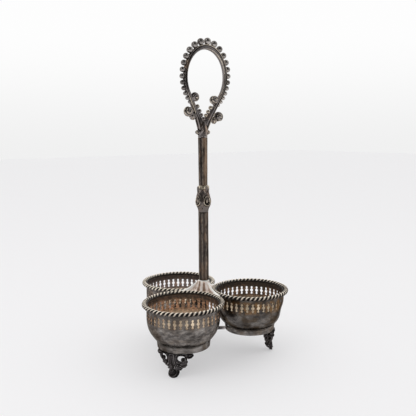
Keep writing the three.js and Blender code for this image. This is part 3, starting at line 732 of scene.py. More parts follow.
def hole_outline():
    """One baluster: at each level as wide as the widest of its round lobes and its narrow neck."""
    height = HOLE_TOP - HOLE_BOTTOM
    share = (1 - np.cos(np.linspace(0, math.pi, HOLE_STEPS + 1))) / 2
    up = HOLE_BOTTOM + height * share
    half = np.where((share > 0.12) & (share < 0.88), HOLE_NECK, 0.0)
    for middle, wide, tall in HOLE_LOBES:
        reach = 1 - ((up - HOLE_BOTTOM - middle * height) / tall) ** 2
        half = np.maximum(half, wide * np.sqrt(np.clip(reach, 0, 1)))
    half[[0, -1]] = 0
    return mirrored_loop(half, up)


def cell_border(half_width):
    """The oblong that a hole's outline is joined to, point by point: out along the bottom in a few
    steps, up the side and back along the top."""
    bottom, top = HOLE_BOTTOM - CELL_MARGIN, HOLE_TOP + CELL_MARGIN
    step = np.arange(HOLE_STEPS + 1)
    across = half_width * np.clip(np.minimum(step, HOLE_STEPS - step) / CELL_CORNER, 0, 1)
    up = bottom + (top - bottom) * np.clip((step - CELL_CORNER) / (HOLE_STEPS - 2 * CELL_CORNER), 0, 1)
    return mirrored_loop(across, up)


def fretted_band():
    """Every cell of the fretwork, bent round the bowl: along the wall over the radius is an angle."""
    half_width = math.pi * BOWL_RADIUS / PIERCINGS
    blend = np.array(CELL_RINGS)[:, None, None]
    cell = hole_outline() * (1 - blend) + cell_border(half_width) * blend
    azimuth = around(PIERCINGS, math.pi / PIERCINGS)[:, None, None]
    points = polar(BOWL_RADIUS, azimuth + cell[None, ..., 0] / BOWL_RADIUS, cell[None, ..., 1])
    rows, columns = cell.shape[:2]
    first_points = (np.arange(PIERCINGS) * rows * columns)[:, None, None]
    return points.reshape(-1, 3), (grid_faces(rows, columns)[None] + first_points).reshape(-1, 4)


print("fretwork", len(fretted_band()[1]), "faces round", PIERCINGS, "holes")

# %% [markdown]
# Below the fretwork the wall curves in to a flat floor, and at its top the sheet is rolled over in a
# bead behind the rope. Real sheet is never even, so every bowl has shallow knocks, and the right one
# was once pushed in at its side.

# %% Sheet of a bowl
BOWL_WALL = 1.1
BOWL_DEPTH = 49.5
BAND_DEPTH = 20.0
CURVE_HEIGHT = 38.0
LIP_RADIUS, LIP_LEVEL, LIP_BEAD = 46.0, -0.4, 1.0
RIM_COLUMNS = 144
STRIP_ROWS, CURVE_ROWS, FLOOR_ROWS = 7, 22, 8
DENT_DEPTH, DENT_SIZE, DENT_LIMIT = 0.13, 21.0, 2
BIG_DENT_AZIMUTH, BIG_DENT_LEVEL, BIG_DENT_DEPTH = math.radians(-48), -28.0, 3.2
BIG_DENT_REACH = (15, 15, 9)
INSIDE_VIEW = (0, 0, 25)


def bowl_sheet():
    """The whole outside of a bowl: a straight strip, the fretwork, a quarter of an ellipse from the
    band inwards (radius by the cosine, depth by the sine), and the floor."""
    columns = PIERCINGS * 8
    strip = np.linspace(LIP_LEVEL, HOLE_TOP + CELL_MARGIN, STRIP_ROWS)
    floor_angle = math.asin((BOWL_DEPTH - BAND_DEPTH) / CURVE_HEIGHT)
    curve = np.linspace(0, floor_angle, CURVE_ROWS)
    curve_radius = BOWL_RADIUS * np.cos(curve)
    curve_height = -BAND_DEPTH - CURVE_HEIGHT * np.sin(curve)
    curve_height[0] = HOLE_BOTTOM - CELL_MARGIN
    floor_radius = curve_radius[-1] * np.linspace(1, 0, FLOOR_ROWS + 1)[1:]
    radii = np.concatenate([curve_radius, floor_radius])
    heights = np.concatenate([curve_height, np.full(FLOOR_ROWS, -BOWL_DEPTH)])
    above = turned(np.full(STRIP_ROWS, BOWL_RADIUS), strip, columns)
    return [above, fretted_band(), turned(radii, heights, columns)]


def lip_bead():
    """The rolled edge of the bowl, inside the rope: a small circle carried round the rim."""
    turn = around(12)
    radii, heights = LIP_RADIUS + LIP_BEAD * np.cos(turn), LIP_LEVEL + LIP_BEAD * np.sin(turn)
    return turned(radii, heights, RIM_COLUMNS, close_rows=True)


def mark_inside(bowl, centre):
    """Writes inside: 1 where the sheet faces a point on the bowl's axis above its rim, otherwise 0."""
    points, normals, _ = mesh_arrays(bowl.data)
    view = centre + INSIDE_VIEW - points
    write_field(bowl, "inside", (np.sum(view * normals, axis=1) > 0).astype(float))


def big_dent(points, centre):
    """How far the right bowl was once knocked in at its side: most at one spot below the fretwork,
    and less with the square of the distance from it."""
    spot = centre + polar(BOWL_RADIUS, BIG_DENT_AZIMUTH, BIG_DENT_LEVEL)
    return BIG_DENT_DEPTH * np.exp(-np.sum(((points - spot) / BIG_DENT_REACH) ** 2, axis=1))


print("a bowl's sheet has", sum(len(faces) for _, faces in bowl_sheet()), "faces")

# %% [markdown]
# The thin surface gets its wall from a Solidify modifier, which also gives the holes their thickness,
# and a Bevel rounds the cut edges so that they catch the light. The dents come last, because they
# bend the finished wall. Inside and outside are told apart by where each face looks.

# %% The bowls
def make_bowl(side, finish, seed):
    """Sheet, wall, rounded edges and lip, each point then moved away from the middle of the rim by its
    share of the knocks."""
    centre = rim_centres[side]
    parts = [moved(spun(part, SIDES[side]), centre) for part in bowl_sheet()]
    bowl = solid(f"{side}_bowl_fretted", parts)
    modify(bowl, "SOLIDIFY", thickness=BOWL_WALL * MM, offset=-1)
    modify(bowl, "BEVEL", width=0.16 * MM, segments=2, limit_method="ANGLE", angle_limit=math.radians(50))
    join(settle(bowl), solid(f"{side}_lip", [moved(lip_bead(), centre)]))
    mark_edges(bowl)
    mark_inside(bowl, centre)
    points = read_points(bowl.data)
    outwards = points - centre
    outwards /= np.linalg.norm(outwards, axis=1, keepdims=True)
    dents = np.clip(knocks(points, seed, DENT_SIZE), -DENT_LIMIT, DENT_LIMIT) * DENT_DEPTH
    if side == "right":
        dents = dents - big_dent(points, centre)
    write_points(bowl.data, points + outwards * dents[:, None])
    dress(bowl, f"{side}_bowl", finish)


WARM_BROWN = (0.37, 0.26, 0.185)
DEEP_BROWN = (0.12, 0.09, 0.068)
MAUVE_GREY = (0.29, 0.25, 0.25)
BOWL_LOOKS = {
    "left": {"stain": 0.2, "shade": 0.12, "band_stain": 0.15, "mid_tone": WARM_BROWN, "glow": 1.0},
    "right": {"stain": 0.75, "shade": 0.42, "band_stain": 0.95, "mid_tone": DEEP_BROWN, "glow": 0.35},
    "rear": {"stain": 0.15, "shade": 0.0, "band_stain": 0.4, "mid_tone": MAUVE_GREY, "glow": 0.3},
}
KNOCK_SEEDS = {"left": 3, "right": 8, "rear": 5}
for side, looks in BOWL_LOOKS.items():
    make_bowl(side, bowl_plate(f"{side} bowl plate", **looks), KNOCK_SEEDS[side])

# %% [markdown]
# ## The rope rims
# A rope rim is two round wires twisted together and soldered round the lip. It could be a plain ring with
# slanted stripes painted on, but then its outline would be smooth. Each wire's middle runs round the
# rim and at the same time round the middle of the rope, like a spring bent into a ring.

# %% Rope rims
ROPE_RING_RADIUS = 49.6
WIRE_RADIUS = 1.42
WIRE_OFFSET = 1.38
ROPE_TURNS = 28
STEPS_A_TURN = 14
WIRE_SIDES = 12
GROOVE_DEPTH = 3.6
# painted shade: how much darker the underside of the rope is
UNDERSIDE_PAINTED_SHADE = 0.36
# azimuth of two opposite sides of the rim, and how much painted shade darkens them
SHADED_SIDE_AZIMUTH, SIDE_PAINTED_SHADE = math.radians(144), 0.14


def twisted_wire(start):
    """A wire of round section along a coil bent into a ring. Its middle stands off the ring's by the
    offset, in a direction that turns with the twist. Start is the first angle of that turning."""
    along = around(ROPE_TURNS * STEPS_A_TURN)
    twist = ROPE_TURNS * along + start
    radial = polar(1.0, along, 0.0)
    upright = np.array([0, 0, 1.0])
    outwards = np.cos(twist)[:, None] * radial + np.sin(twist)[:, None] * upright
    centre = ROPE_RING_RADIUS * radial + WIRE_OFFSET * outwards
    tangent = np.roll(centre, -1, axis=0) - np.roll(centre, 1, axis=0)
    tangent /= np.linalg.norm(tangent, axis=1, keepdims=True)
    sideways = np.cross(tangent, outwards)
    section = around(WIRE_SIDES)[None, :, None]
    points = centre[:, None] + WIRE_RADIUS * (
        np.cos(section) * outwards[:, None] + np.sin(section) * sideways[:, None])
    return shell(points, close_rows=True)


def mark_rope(rope, centre):
    """Writes crest on a rope: high on the outside of a wire and low in the groove between two, less on
    the side turned down and less on two opposite sides of the rim, both as painted shade."""
    points = read_points(rope.data) - centre
    reach = WIRE_OFFSET + WIRE_RADIUS
    ring = np.hypot(points[:, 0], points[:, 1]) - ROPE_RING_RADIUS
    out = np.hypot(ring, points[:, 2]) / reach
    up = points[:, 2] / reach
    # painted shade on two opposite sides of the rim
    dull = np.cos(np.arctan2(points[:, 1], points[:, 0]) - SHADED_SIDE_AZIMUTH) ** 4
    groove = 1 - GROOVE_DEPTH * (1 - out)
    write_field(rope, "crest", groove * (1 - UNDERSIDE_PAINTED_SHADE + UNDERSIDE_PAINTED_SHADE * up) - SIDE_PAINTED_SHADE * dull)


def make_rope(side, painted_brightening):
    """Two wires, half a turn of the twist apart."""
    centre = rim_centres[side]
    rope = solid(f"{side}_rope_twisted", [moved(twisted_wire(start), centre) for start in (0, math.pi)])
    mark_rope(rope, centre)
    finish = rubbed_plate(f"{side} rope plate", ROPE_STOPS, metal=0.62, painted_brightening=painted_brightening)
    dress(rope, f"{side}_rope_rim", finish)


# painted light: how far each rope's colours are shifted to the bright end
for side, painted_brightening in {"left": 0.05, "right": 0.03, "rear": 0.14}.items():
    make_rope(side, painted_brightening)

# %% [markdown]
# ## The collar rings
# A collar is a strip of sheet bent into a ring, a little wider at the top, where the bowl's curve
# rests in it. Its upper edge is rolled over into a fine bead that catches the light. A strip with a
# Bevel would do, but a turned profile gives the bead its true round.

# %% Collar rings
COLLAR_RADIUS = 34.2
COLLAR_WALL = 1.5
COLLAR_TAPER = 0.7
COLLAR_BEAD = 0.55
COLLAR_DROP = 0.3
COLLAR_CHAMFER = 0.25
COLLAR_STAINS = {"left": (0.5, 0.3), "right": (0.45, 0.0), "rear": (0.6, 0.1)}  # stain and shade


def curve_drop(radius):
    """Depth of a bowl's outside below the rim plane at a radius, by the equation of its ellipse."""
    return min(BAND_DEPTH + CURVE_HEIGHT * math.sqrt(1 - (radius / BOWL_RADIUS) ** 2), BOWL_DEPTH)


def collar_profile(height):
    """Outside up, over the bead and down the inside, as radii and heights."""
    top = -curve_drop(COLLAR_RADIUS) - COLLAR_DROP
    bottom = top - height
    bead = np.linspace(-0.5, 0.5, 9) * math.pi
    bead_radius = COLLAR_RADIUS - 0.1 + COLLAR_BEAD * np.cos(bead)
    bead_height = top - COLLAR_BEAD + COLLAR_BEAD * np.sin(bead)
    share = np.linspace(0, 1, 7)
    outer_radius = COLLAR_RADIUS - COLLAR_TAPER * (1 - share)
    outer_height = bottom + (top - 2 * COLLAR_BEAD - bottom) * share
    outer_height = outer_height + np.where(share == 0, COLLAR_CHAMFER, 0)
    inside = COLLAR_RADIUS - COLLAR_WALL
    foot = inside - COLLAR_TAPER
    inner_radius = [inside, foot, foot + COLLAR_CHAMFER, outer_radius[0] - COLLAR_CHAMFER]
    inner_height = [-curve_drop(inside) - COLLAR_DROP, bottom + COLLAR_CHAMFER, bottom, bottom]
    radii = np.concatenate([outer_radius, bead_radius, inner_radius])
    return radii, np.concatenate([outer_height, bead_height, inner_height])


for side in SIDES:
    bottom, top = levels_of(f"{side}_collar_ring")
    radii, heights = collar_profile(top - bottom)
    part = moved(turned(radii, heights, RIM_COLUMNS, close_rows=True), rim_centres[side])
    collar = mark_edges(solid(f"{side}_collar_rolled", [part]))
    finish = sheet_plate(f"{side} collar plate", *COLLAR_STAINS[side])
    dress(collar, f"{side}_collar_ring", finish)

# %% [markdown]
# ## Castings
# The feet and the handle were cast, so their scrolls, balls and leaves run into each other with
# soft corners. They could be sculpted by hand. Here they are laid out as separate bars and balls that
# overlap and then cast into one skin, so that every scroll keeps its measured place.

# %% Bars
FACE = np.array([0, 1.0, 0])  # the way that a casting's face looks while it is drawn
PATH_STEPS = 10
BAR_SIDES = 14
CAP_STEPS = 4


def smooth_path(points):
    """A smooth curve through points. Between each pair it is a cubic of the share of the way, whose
    slope at a point is half the step from the point before to the point after."""
    points = np.asarray(points, float)
    padded = np.concatenate([2 * points[:1] - points[1:2], points, 2 * points[-1:] - points[-2:-1]])
    share = np.arange(PATH_STEPS)[:, None] / PATH_STEPS
    pieces = []
    for a, b, c, d in zip(padded, padded[1:], padded[2:], padded[3:]):
        pieces.append(0.5 * (
            2 * b + (c - a) * share + (2 * a - 5 * b + 4 * c - d) * share ** 2
            + (3 * b - a - 3 * c + d) * share ** 3))
    return np.concatenate(pieces + [points[-1:]])


def bar(points, radii, depth=1.0):
    """A bar of oval section round a smooth path, with round ends. Its radius goes across the path, and
    the radius times depth goes towards its face."""
    line = smooth_path(np.column_stack([np.asarray(points, float), radii]))
    centre, radius = line[:, :3], line[:, 3]
    tangent = np.gradient(centre, axis=0)
    tangent /= np.linalg.norm(tangent, axis=1, keepdims=True)
    cap = np.linspace(0, math.pi / 2, CAP_STEPS + 1)[:-1]
    head = centre[0] - tangent[0] * radius[0] * np.cos(cap)[:, None]
    tail = centre[-1] + tangent[-1] * radius[-1] * np.cos(cap)[::-1, None]
    centre = np.concatenate([head, centre, tail])
    radius = np.concatenate([radius[0] * np.sin(cap), radius, radius[-1] * np.sin(cap)[::-1]])
    tangent = np.pad(tangent, ((CAP_STEPS, CAP_STEPS), (0, 0)), "edge")
    front = FACE - tangent * (tangent @ FACE)[:, None]
    front /= np.linalg.norm(front, axis=1, keepdims=True)
    across = np.cross(tangent, front)
    section = around(BAR_SIDES)[None, :, None]
    offset = np.cos(section) * across[:, None] + depth * np.sin(section) * front[:, None]
    return shell(centre[:, None] + radius[:, None, None] * offset)


sample_points, sample_faces = bar([(0, 0, 0), (9, 0, 0), (18, 0, 4)], [2, 3, 2])
print("a bar through three places has", len(sample_points), "points and", len(sample_faces), "faces")

# %% [markdown]
# A carved ball is an oval whose radius is scaled by a function of two angles. Volutes and ribs are
# two such functions: a groove that coils round the pole, and grooves side by side.

# %% Carved balls
def ball(centre, radii, carve=None, rows=20, columns=28):
    """An oval ball with its poles at front and back: sines and cosines of the angle down from a pole
    and the angle round it, times the radii. Carve scales it by those two angles."""
    down = np.linspace(0, math.pi, rows)[:, None]
    turn = around(columns)[None, :]
    scale = 1 if carve is None else carve(down, turn)
    across, up = np.sin(down) * np.cos(turn), np.sin(down) * np.sin(turn)
    unit = np.stack(np.broadcast_arrays(across, -np.cos(down), up), axis=-1)
    return shell(unit * np.asarray(scale)[..., None] * np.asarray(radii, float) + np.asarray(centre, float))


def volute(hand, start=0.0, coils=6.5, depth=0.16):
    """A groove that coils round the poles of a ball like a rolled leaf: it lies where the angle round the
    pole plus coils times the angle from it is a full turn."""
    def carve(down, turn):
        from_pole = np.minimum(down, math.pi - down)
        wave = 0.5 + 0.5 * np.cos(hand * turn + coils * from_pole + start)
        return 1 - depth * wave ** 3 * np.clip(from_pole * 2.2, 0, 1)
    return carve


def ribs(count, depth=0.14, tilt=0.0):
    """Grooves across a ball, side by side, like the folds of a leaf: a cosine of the way across it."""
    def carve(down, turn):
        side = np.sin(down) * np.cos(turn - tilt)
        return 1 - depth * (0.5 + 0.5 * np.cos(count * side * math.pi)) ** 3
    return carve


print("a ball has", len(ball((0, 0, 0), (1, 1, 1), ribs(3))[1]), "faces")

# %% [markdown]
# ## The feet
# Each foot is a leafy mask of scrolls: two ringed eyes under the collar, leaves at the sides and a
# curled toe in the middle. It is drawn flat first, looking at its face: along the collar, out from it
# and down. Drawing it round would mean turning every scroll by itself. So the flat drawing is bent
# round the collar afterwards, and its leg swings in under the bowl and out to the toe.

# %% Drawing of a foot
EYE_PLACE = (12.0, 6.0)
EYE_RADII = (6.0, 5.4)
EDGE_BALLS = ((18.2, 11.0, 2.4), (26.0, 2.4, 1.7))  # along, down and radius of the small balls at the edge


def drawn(along, down, out=0.0):
    """A place in the flat drawing of a foot, with down turned into up."""
    return (along, out, -down)


def eye_ring(side, grow, thickness, out, start=0.0, end=2 * math.pi):
    """An oval ring round a foot's eye from one angle to another: along by the cosine and down by the
    sine, a little thicker at the bottom."""
    turn = np.linspace(start, end, 13)
    along = EYE_PLACE[0] + (EYE_RADII[0] + grow) * np.cos(turn)
    down = EYE_PLACE[1] + (EYE_RADII[1] + grow) * np.sin(turn)
    places = [drawn(side * a, d, out) for a, d in zip(along, down)]
    return bar(places, thickness * (1 + 0.18 * np.sin(turn)), 0.85)


def foot_half(side):
    """The scrolls and leaves on one half of a foot. Side is 1 or -1, and -1 mirrors them."""
    def line(places, radii, depth=0.85, out=0.0):
        """A bar through places given as (along, down)."""
        return bar([drawn(side * along, down, out) for along, down in places], radii, depth)

    def lobe(along, down, half_width, half_height, out=0.0, tilt=0.0, folds=3):
        """A folded leaf: a flat ball with ribs."""
        folded = ribs(folds, 0.1, tilt * side)
        return ball(drawn(side * along, down, out), (half_width, 2.3, half_height), folded)

    return [
        line([(0, 1.25), (12, 1.25), (26.0, 1.25)], [1.25, 1.25, 1.2], 1.0),
        eye_ring(side, 0.0, 1.45, 0.8),
        eye_ring(side, 0.5, 0.6, 2.2, -2.8, 2.6),
        line([(4.4, 2.0), (4.3, 8), (4.4, 14), (4.6, 19), (5.6, 24.5)], [1.5, 1.3, 1.7, 1.7, 1.8], out=0.6),
        line([(1.8, 2.0), (1.7, 8), (2.2, 15), (3.0, 21)], [0.55, 0.5, 0.6, 0.8], out=2.2),
        ball(drawn(side * 14.3, 7.4, 0.6), (3.2, 2.9, 2.9), volute(side, depth=0.2)),
        line([(17.4, 4.4), (17.2, 7.2), (15.0, 9.2)], [1.2, 1.2, 1.4]),
        lobe(22.0, 3.2, 5.4, 3.7, -0.4, 0.25),
        line([(18.4, 3.0), (21.8, 4.0), (25.6, 3.0)], [0.8, 1.1, 0.7], out=1.8),
        ball(drawn(side * 7.6, 13.6), (3.4, 1.6, 3.4)),
        lobe(14.2, 15.0, 6.0, 5.2, 1.0, 0.9),
        lobe(8.8, 19.0, 5.0, 4.6, 0.4, 0.7, 2),
        line([(8.0, 13.2), (12.0, 15.6), (16.8, 14.6)], [0.7, 1.1, 0.8], out=3.1),
        line([(6.8, 16.4), (11.0, 18.8), (15.6, 18.6)], [0.7, 1.0, 0.7], out=2.3),
        line([(6.4, 20.0), (8.6, 21.8), (11.4, 22.0)], [0.7, 0.8, 0.6], out=2.2),
    ] + [ball(drawn(side * along, down), (size, 1.9, size)) for along, down, size in EDGE_BALLS]


def toe_ring(down, turn):
    """Fine rings round the toe, like the edge of a rolled leaf seen from its end: a cosine of the
    angle from the pole, left smooth close to it."""
    from_pole = np.minimum(down, math.pi - down)
    return 1 - 0.26 * (0.5 + 0.5 * np.cos(7.5 * from_pole + 0 * turn)) ** 2 * (from_pole > 0.3)


def foot_drawing():
    """The leg, the ridge down it, its curl and the toe, with a half on each side."""
    middle = [
        bar([drawn(0, 1.2), drawn(0, 9), drawn(0, 17), drawn(0, 25)], [3.6, 3.4, 4.4, 5.6], 0.5),
        bar([drawn(0, 1.8, 2.0), drawn(0, 10, 2.2), drawn(-0.4, 17, 3.2), drawn(-1.4, 22.5, 5.2)],
            [0.9, 1.2, 1.7, 1.3], 1.3),
        ball(drawn(-2.0, 23.6, 4.6), (2.5, 1.8, 2.5), volute(1, depth=0.2)),
        ball(drawn(-0.3, 25.2, 0.6), (9.1, 4.8, 7.1), toe_ring),
    ]
    return middle + foot_half(1) + foot_half(-1)


print("a foot is drawn with", len(foot_drawing()), "bars and balls")

# %% [markdown]
# All three feet share one drawing. It is cast into one skin while it is flat, and only then bent, so that
# the cells of the skin are the same size everywhere.

# %% Feet
FOOT_HEIGHT = 32.0
FOOT_SEAT = COLLAR_RADIUS - COLLAR_TAPER - COLLAR_WALL / 2
LEG_SET_BACK = 5.2
TOE_SET_BACK = 3.5
FOOT_VOXEL = 0.27


def bend_foot(points):
    """Bends the flat drawing round the collar: along over the seat's radius is an angle. The leg stands
    back by one wave of a cosine from its top to its toe, and the toe by a straight share."""
    along, out, up = points.T
    share = np.clip(-up / FOOT_HEIGHT, 0, 1)
    bow = (1 - np.cos(2 * math.pi * share ** 1.6)) / 2
    radius = FOOT_SEAT + out - LEG_SET_BACK * bow - TOE_SET_BACK * share
    return polar(radius, along / FOOT_SEAT, np.clip(up, -FOOT_HEIGHT, 0) + FOOT_HEIGHT)


def make_foot(side):
    """The drawing, cast and bent, then turned towards its bowl and set on the floor below it."""
    foot = solid(f"{side}_foot_cast", foot_drawing())
    fuse(foot, FOOT_VOXEL, smoothing=4)
    points, _ = spun((bend_foot(read_points(foot.data)), None), SIDES[side])
    write_points(foot.data, points + rim_centres[side] * (1, 1, 0))
    mark_crests(foot, rounds=50, height=0.34)
    dress(foot, f"{side}_scroll_foot", FOOT_CAST)


for side in SIDES:
    make_foot(side)

# %% [markdown]
# ## The hub
# The hub is a pale plate that closes the gap between the three rims: a dome whose edge follows the ropes
# and runs out to a point between each two of them, with a ring of small flutes under the stem. It
# could be cut from a round dome. Drawing it from the axis out to the edge in each direction needs
# no cut, and the dome runs down to its edge everywhere.

# %% Hub
HUB_HEIGHT = 15.5
HUB_TOP_RADIUS = 7.2
HUB_EDGE_LEVEL = 1.0
HUB_UNDERSIDE = -1.2
ROPE_OUTSIDE = 52.4
HUB_GAP = 0.3
ROD_BORE = 2.7
FLUTES = 7
FLUTE_TURN = math.radians(-125)
FLUTE_PLACE, FLUTE_LENGTH = 9.5, 3
FLUTE_INSET, FLUTE_SINK, CREASE_RISE = 1.5, 0.8, 1.3
THIRD = 2 * math.pi / 3


def from_bowl(azimuth):
    """Angle from the nearest bowl's azimuth, up to a sixth of a turn either way."""
    return (azimuth - math.pi / 2 + THIRD / 2) % THIRD - THIRD / 2


def hub_edge(azimuth):
    """Distance from the axis to the hub's edge: along a line to the nearest rim's circle, or, between two
    rims, as far as the place where the line just touches both."""
    reach = ROPE_OUTSIDE + HUB_GAP
    across = bowl_spread * np.sin(from_bowl(azimuth))
    rim = bowl_spread * np.cos(from_bowl(azimuth)) - np.sqrt(np.clip(reach ** 2 - across ** 2, 0, None))
    point = math.sqrt(bowl_spread ** 2 - reach ** 2)
    return np.where(np.abs(across) < reach, np.minimum(rim, point), point)


def hub_streaks(points):
    """Tarnish in the flutes and in streaks that run down the hub, as an amount to take off its crest. The
    streaks are knocks that change fast round the axis and slowly away from it."""
    x, y, _ = (points - stem_axis).T
    azimuth, reach = np.arctan2(y, x), np.hypot(x, y)
    flute = np.clip(np.cos(FLUTES * (azimuth - FLUTE_TURN)), 0, 1) * ridge(reach - FLUTE_PLACE, FLUTE_LENGTH)
    return 0.5 * flute + 0.08 * knocks(polar(12, azimuth, 0.2 * reach), seed=4, size=5)


def make_hub():
    """The radius grows from the top's to the edge's, and the height falls as a power of the share of the
    way left. Flutes and creases are added to both, and underside and bore close the grid."""
    azimuth = around(360)[None, :]
    share = np.linspace(0, 1, 60)[:, None] ** 1.25
    flute = np.clip(np.cos(FLUTES * (azimuth - FLUTE_TURN)) + 0.1, 0, 1) ** 0.8 * ridge(share - 0.18, 0.14)
    crease = ridge(THIRD / 2 - np.abs(from_bowl(azimuth)), 0.10) * np.sin(math.pi * share ** 0.6)
    radius = HUB_TOP_RADIUS + (hub_edge(azimuth) - HUB_TOP_RADIUS) * share - FLUTE_INSET * flute
    dome = HUB_EDGE_LEVEL + (HUB_HEIGHT - HUB_EDGE_LEVEL) * (1 - share) ** 2.2
    outside = polar(radius, azimuth, dome - FLUTE_SINK * flute + CREASE_RISE * crease)
    under = outside[-1:] * (1, 1, 0) + (0, 0, HUB_UNDERSIDE)
    bore = [polar(ROD_BORE, azimuth, level) for level in (HUB_UNDERSIDE, HUB_HEIGHT)]
    part = shell(np.concatenate([outside, under, *bore]), close_rows=True)
    hub = solid("hub_fluted", [moved(part, stem_axis + (0, 0, rim_level))])
    mark_crests(hub, rounds=30, height=0.42)
    lower_crest(hub, hub_streaks)
    dress(hub, "domed_hub", HUB_PLATE)


make_hub()

# %% [markdown]
# ## The stem
# Each length of stem is a tube drawn through a reeded plate: eight broad reeds with sharp grooves between
# them. Since the section is the same all the way up, one formula for the radius at an angle gives the
# shape, and also says where the tarnish in the grooves lies.

# %% Stem
STEM_RADIUS = 6.2
STEM_BORE = 0.62
REEDS = 8
REED_DEPTH = 0.7
# the stem's flank that gets a painted warm highlight
PAINTED_GLINT_FLANK = math.radians(-95)


def reeded(angle, turn):
    """Radius of the reeded section at an angle, for a section turned by so many degrees: less where the
    square root of a cosine's size is small, so broad lobes meet in narrow grooves."""
    wave = np.abs(np.cos(REEDS / 2 * (angle - math.radians(turn))))
    return STEM_RADIUS - REED_DEPTH * (1 - wave ** 0.5)


def make_stem(name, node, turn, bottom_radius, top_radius, warmth):
    """The section times a taper and slight knocks, carried up. Crest falls with the depth of a groove,
    and a painted warm highlight lies on one flank, as strong as warmth says."""
    bottom, top = levels_of(node)
    angle = around(240)[None, :]
    up = np.linspace(0, 1, 60)[:, None]
    taper = (bottom_radius + (top_radius - bottom_radius) * up) / STEM_RADIUS
    knock = 1 + 0.005 * np.sin(9 * up + 2 * angle) + 0.004 * np.sin(23 * up - angle)
    outside = polar(reeded(angle, turn) * taper * knock, angle, bottom + (top - bottom) * up)
    bore = outside[[-1, 0]] * (STEM_BORE, STEM_BORE, 1)
    stem = solid(name, [moved(shell(np.concatenate([outside, bore]), close_rows=True), stem_axis)])
    place = read_points(stem.data) - stem_axis
    direction = np.arctan2(place[:, 1], place[:, 0])
    groove = (STEM_RADIUS - reeded(direction, turn)) / REED_DEPTH
    write_field(stem, "crest", 0.80 - 0.74 * groove ** 0.7)
    write_field(stem, "painted_glint", np.clip(np.cos(direction - PAINTED_GLINT_FLANK), 0, 1) ** 8 * warmth)
    dress(stem, node, STEM_CAST)


# warmth sets how strong the painted warm highlight on each tube is
make_stem("lower_stem_reeded", "lower_stem", turn=40, bottom_radius=6.8, top_radius=6.8, warmth=0.15)
make_stem("upper_stem_reeded", "upper_stem", turn=6, bottom_radius=5.8, top_radius=6.2, warmth=0.6)

# %% [markdown]
# The knop that joins the two tubes is a cast swelling with four oval eyes, each with a rim and a ball,
# under a crown of leaves that cross over them. Balls and bars could build it like a foot. But all of
# it lies close to one round body, so it is a single turned grid whose radius rises and falls.

# %% The knop
KNOP_LEVELS = [0, 1.9, 4.5, 7, 10, 14, 18, 22, 25, 28, 35.3]
KNOP_RADII = [6.7, 6.9, 7.4, 8.2, 8.7, 8.8, 8.4, 7.7, 7.1, 6.8, 6.9]
KNOP_NOTCH = 5.0
KNOP_CORE = 5.7
KNOP_GIRTH = 9.0
KNOP_EYE_LEVEL = 15.2
KNOP_EYE_HALF_WIDTH, KNOP_EYE_HALF_HEIGHT = 5.0, 7.4
KNOP_EYE_RIM, KNOP_EYE_SINK, KNOP_EYE_BALL = 1.7, 2.2, 3.2
LEAF_LEVELS, LEAF_SWAY = [5, 12, 20, 26, 30], [7.0, 6.2, 5.4, 2.4, 3.6]
LEAF_TIP_SWAY, LEAF_RISE = 2.2, 1.3
CROWN_LEVEL = 24
HOLLOW_PLACE, HOLLOW_LEVEL = 7.07, 26
KNOP_FOOT = 1.2


def eye_relief(along, up):
    """How far an eye stands out: a ridge on an oval that narrows upwards, a flat hollow inside it, and a
    round ball in the hollow."""
    narrowing = 1 + 0.25 * np.clip(up / KNOP_EYE_HALF_HEIGHT, -1, 1)
    eye = np.sqrt((along * narrowing / KNOP_EYE_HALF_WIDTH) ** 2 + (up / KNOP_EYE_HALF_HEIGHT) ** 2)
    almond = np.sqrt((along / 2.1) ** 2 + ((up - 1.0) / 4.9) ** 2)
    hollow = KNOP_EYE_SINK * np.clip(1 - (eye / 0.74) ** 4, 0, 1)
    round_ball = KNOP_EYE_BALL * np.sqrt(np.clip(1 - almond ** 2, 0, 1))
    return KNOP_EYE_RIM * ridge(eye - 0.86, 0.12) - hollow + round_ball


def leaf_relief(along, height, length):
    """How far the leaves stand out: ridges that sway in over the eyes as they rise, and a crown
    with a grooved tip over each eye and a hollow between each two."""
    sway = np.interp(height, LEAF_LEVELS + [length], LEAF_SWAY + [LEAF_TIP_SWAY])
    leaf = ridge(np.abs(along) - sway, 1.15) * np.clip((height - 4) / 6, 0, 1)
    crown = np.clip((height - CROWN_LEVEL) / (length - CROWN_LEVEL), 0, 1)
    tips = 1.1 * crown * ridge(along, 3.4) - 0.9 * crown * ridge(along, 1.2) * (1 - crown)
    hollow = ridge(np.abs(along) - HOLLOW_PLACE, 1.5) * np.clip((height - HOLLOW_LEVEL) / 5, 0, 1)
    return LEAF_RISE * leaf + tips - 1.2 * hollow


def make_knop():
    """Radius by height from the profile, plus the relief of eyes and leaves. The top edge is notched
    between the leaves, and inside them a plain core carries the upper tube."""
    bottom, top = levels_of("stem_knop")
    length = top - bottom
    angle = around(240)[None, :]
    share = np.linspace(0, 1, 170)[:, None]
    notch = KNOP_NOTCH * np.abs(np.sin(2 * angle)) ** 1.2
    height = share * (length - notch * share ** 3)
    along = ((angle + math.pi / 4) % (math.pi / 2) - math.pi / 4) * KNOP_GIRTH
    radius = np.interp(height, KNOP_LEVELS, KNOP_RADII) + eye_relief(along, height - KNOP_EYE_LEVEL)
    radius = radius + leaf_relief(along, height, length)
    outside = polar(radius, angle, bottom + height)
    core_foot = polar(KNOP_CORE, angle, outside[-1:, :, 2] - 0.5)
    core = ((KNOP_CORE, top), (ROD_BORE, top), (ROD_BORE, bottom))
    inside = [polar(ring, angle, level) for ring, level in core]
    part = shell(np.concatenate([outside, core_foot, *inside]), close_rows=True)
    knop = solid("knop_cast", [moved(part, stem_axis)])
    mark_crests(knop, rounds=50, height=0.65)
    lower_crest(knop, lambda points: 0.4 * (points[:, 2] < bottom + KNOP_FOOT))
    dress(knop, "stem_knop", KNOP_CAST)


make_knop()

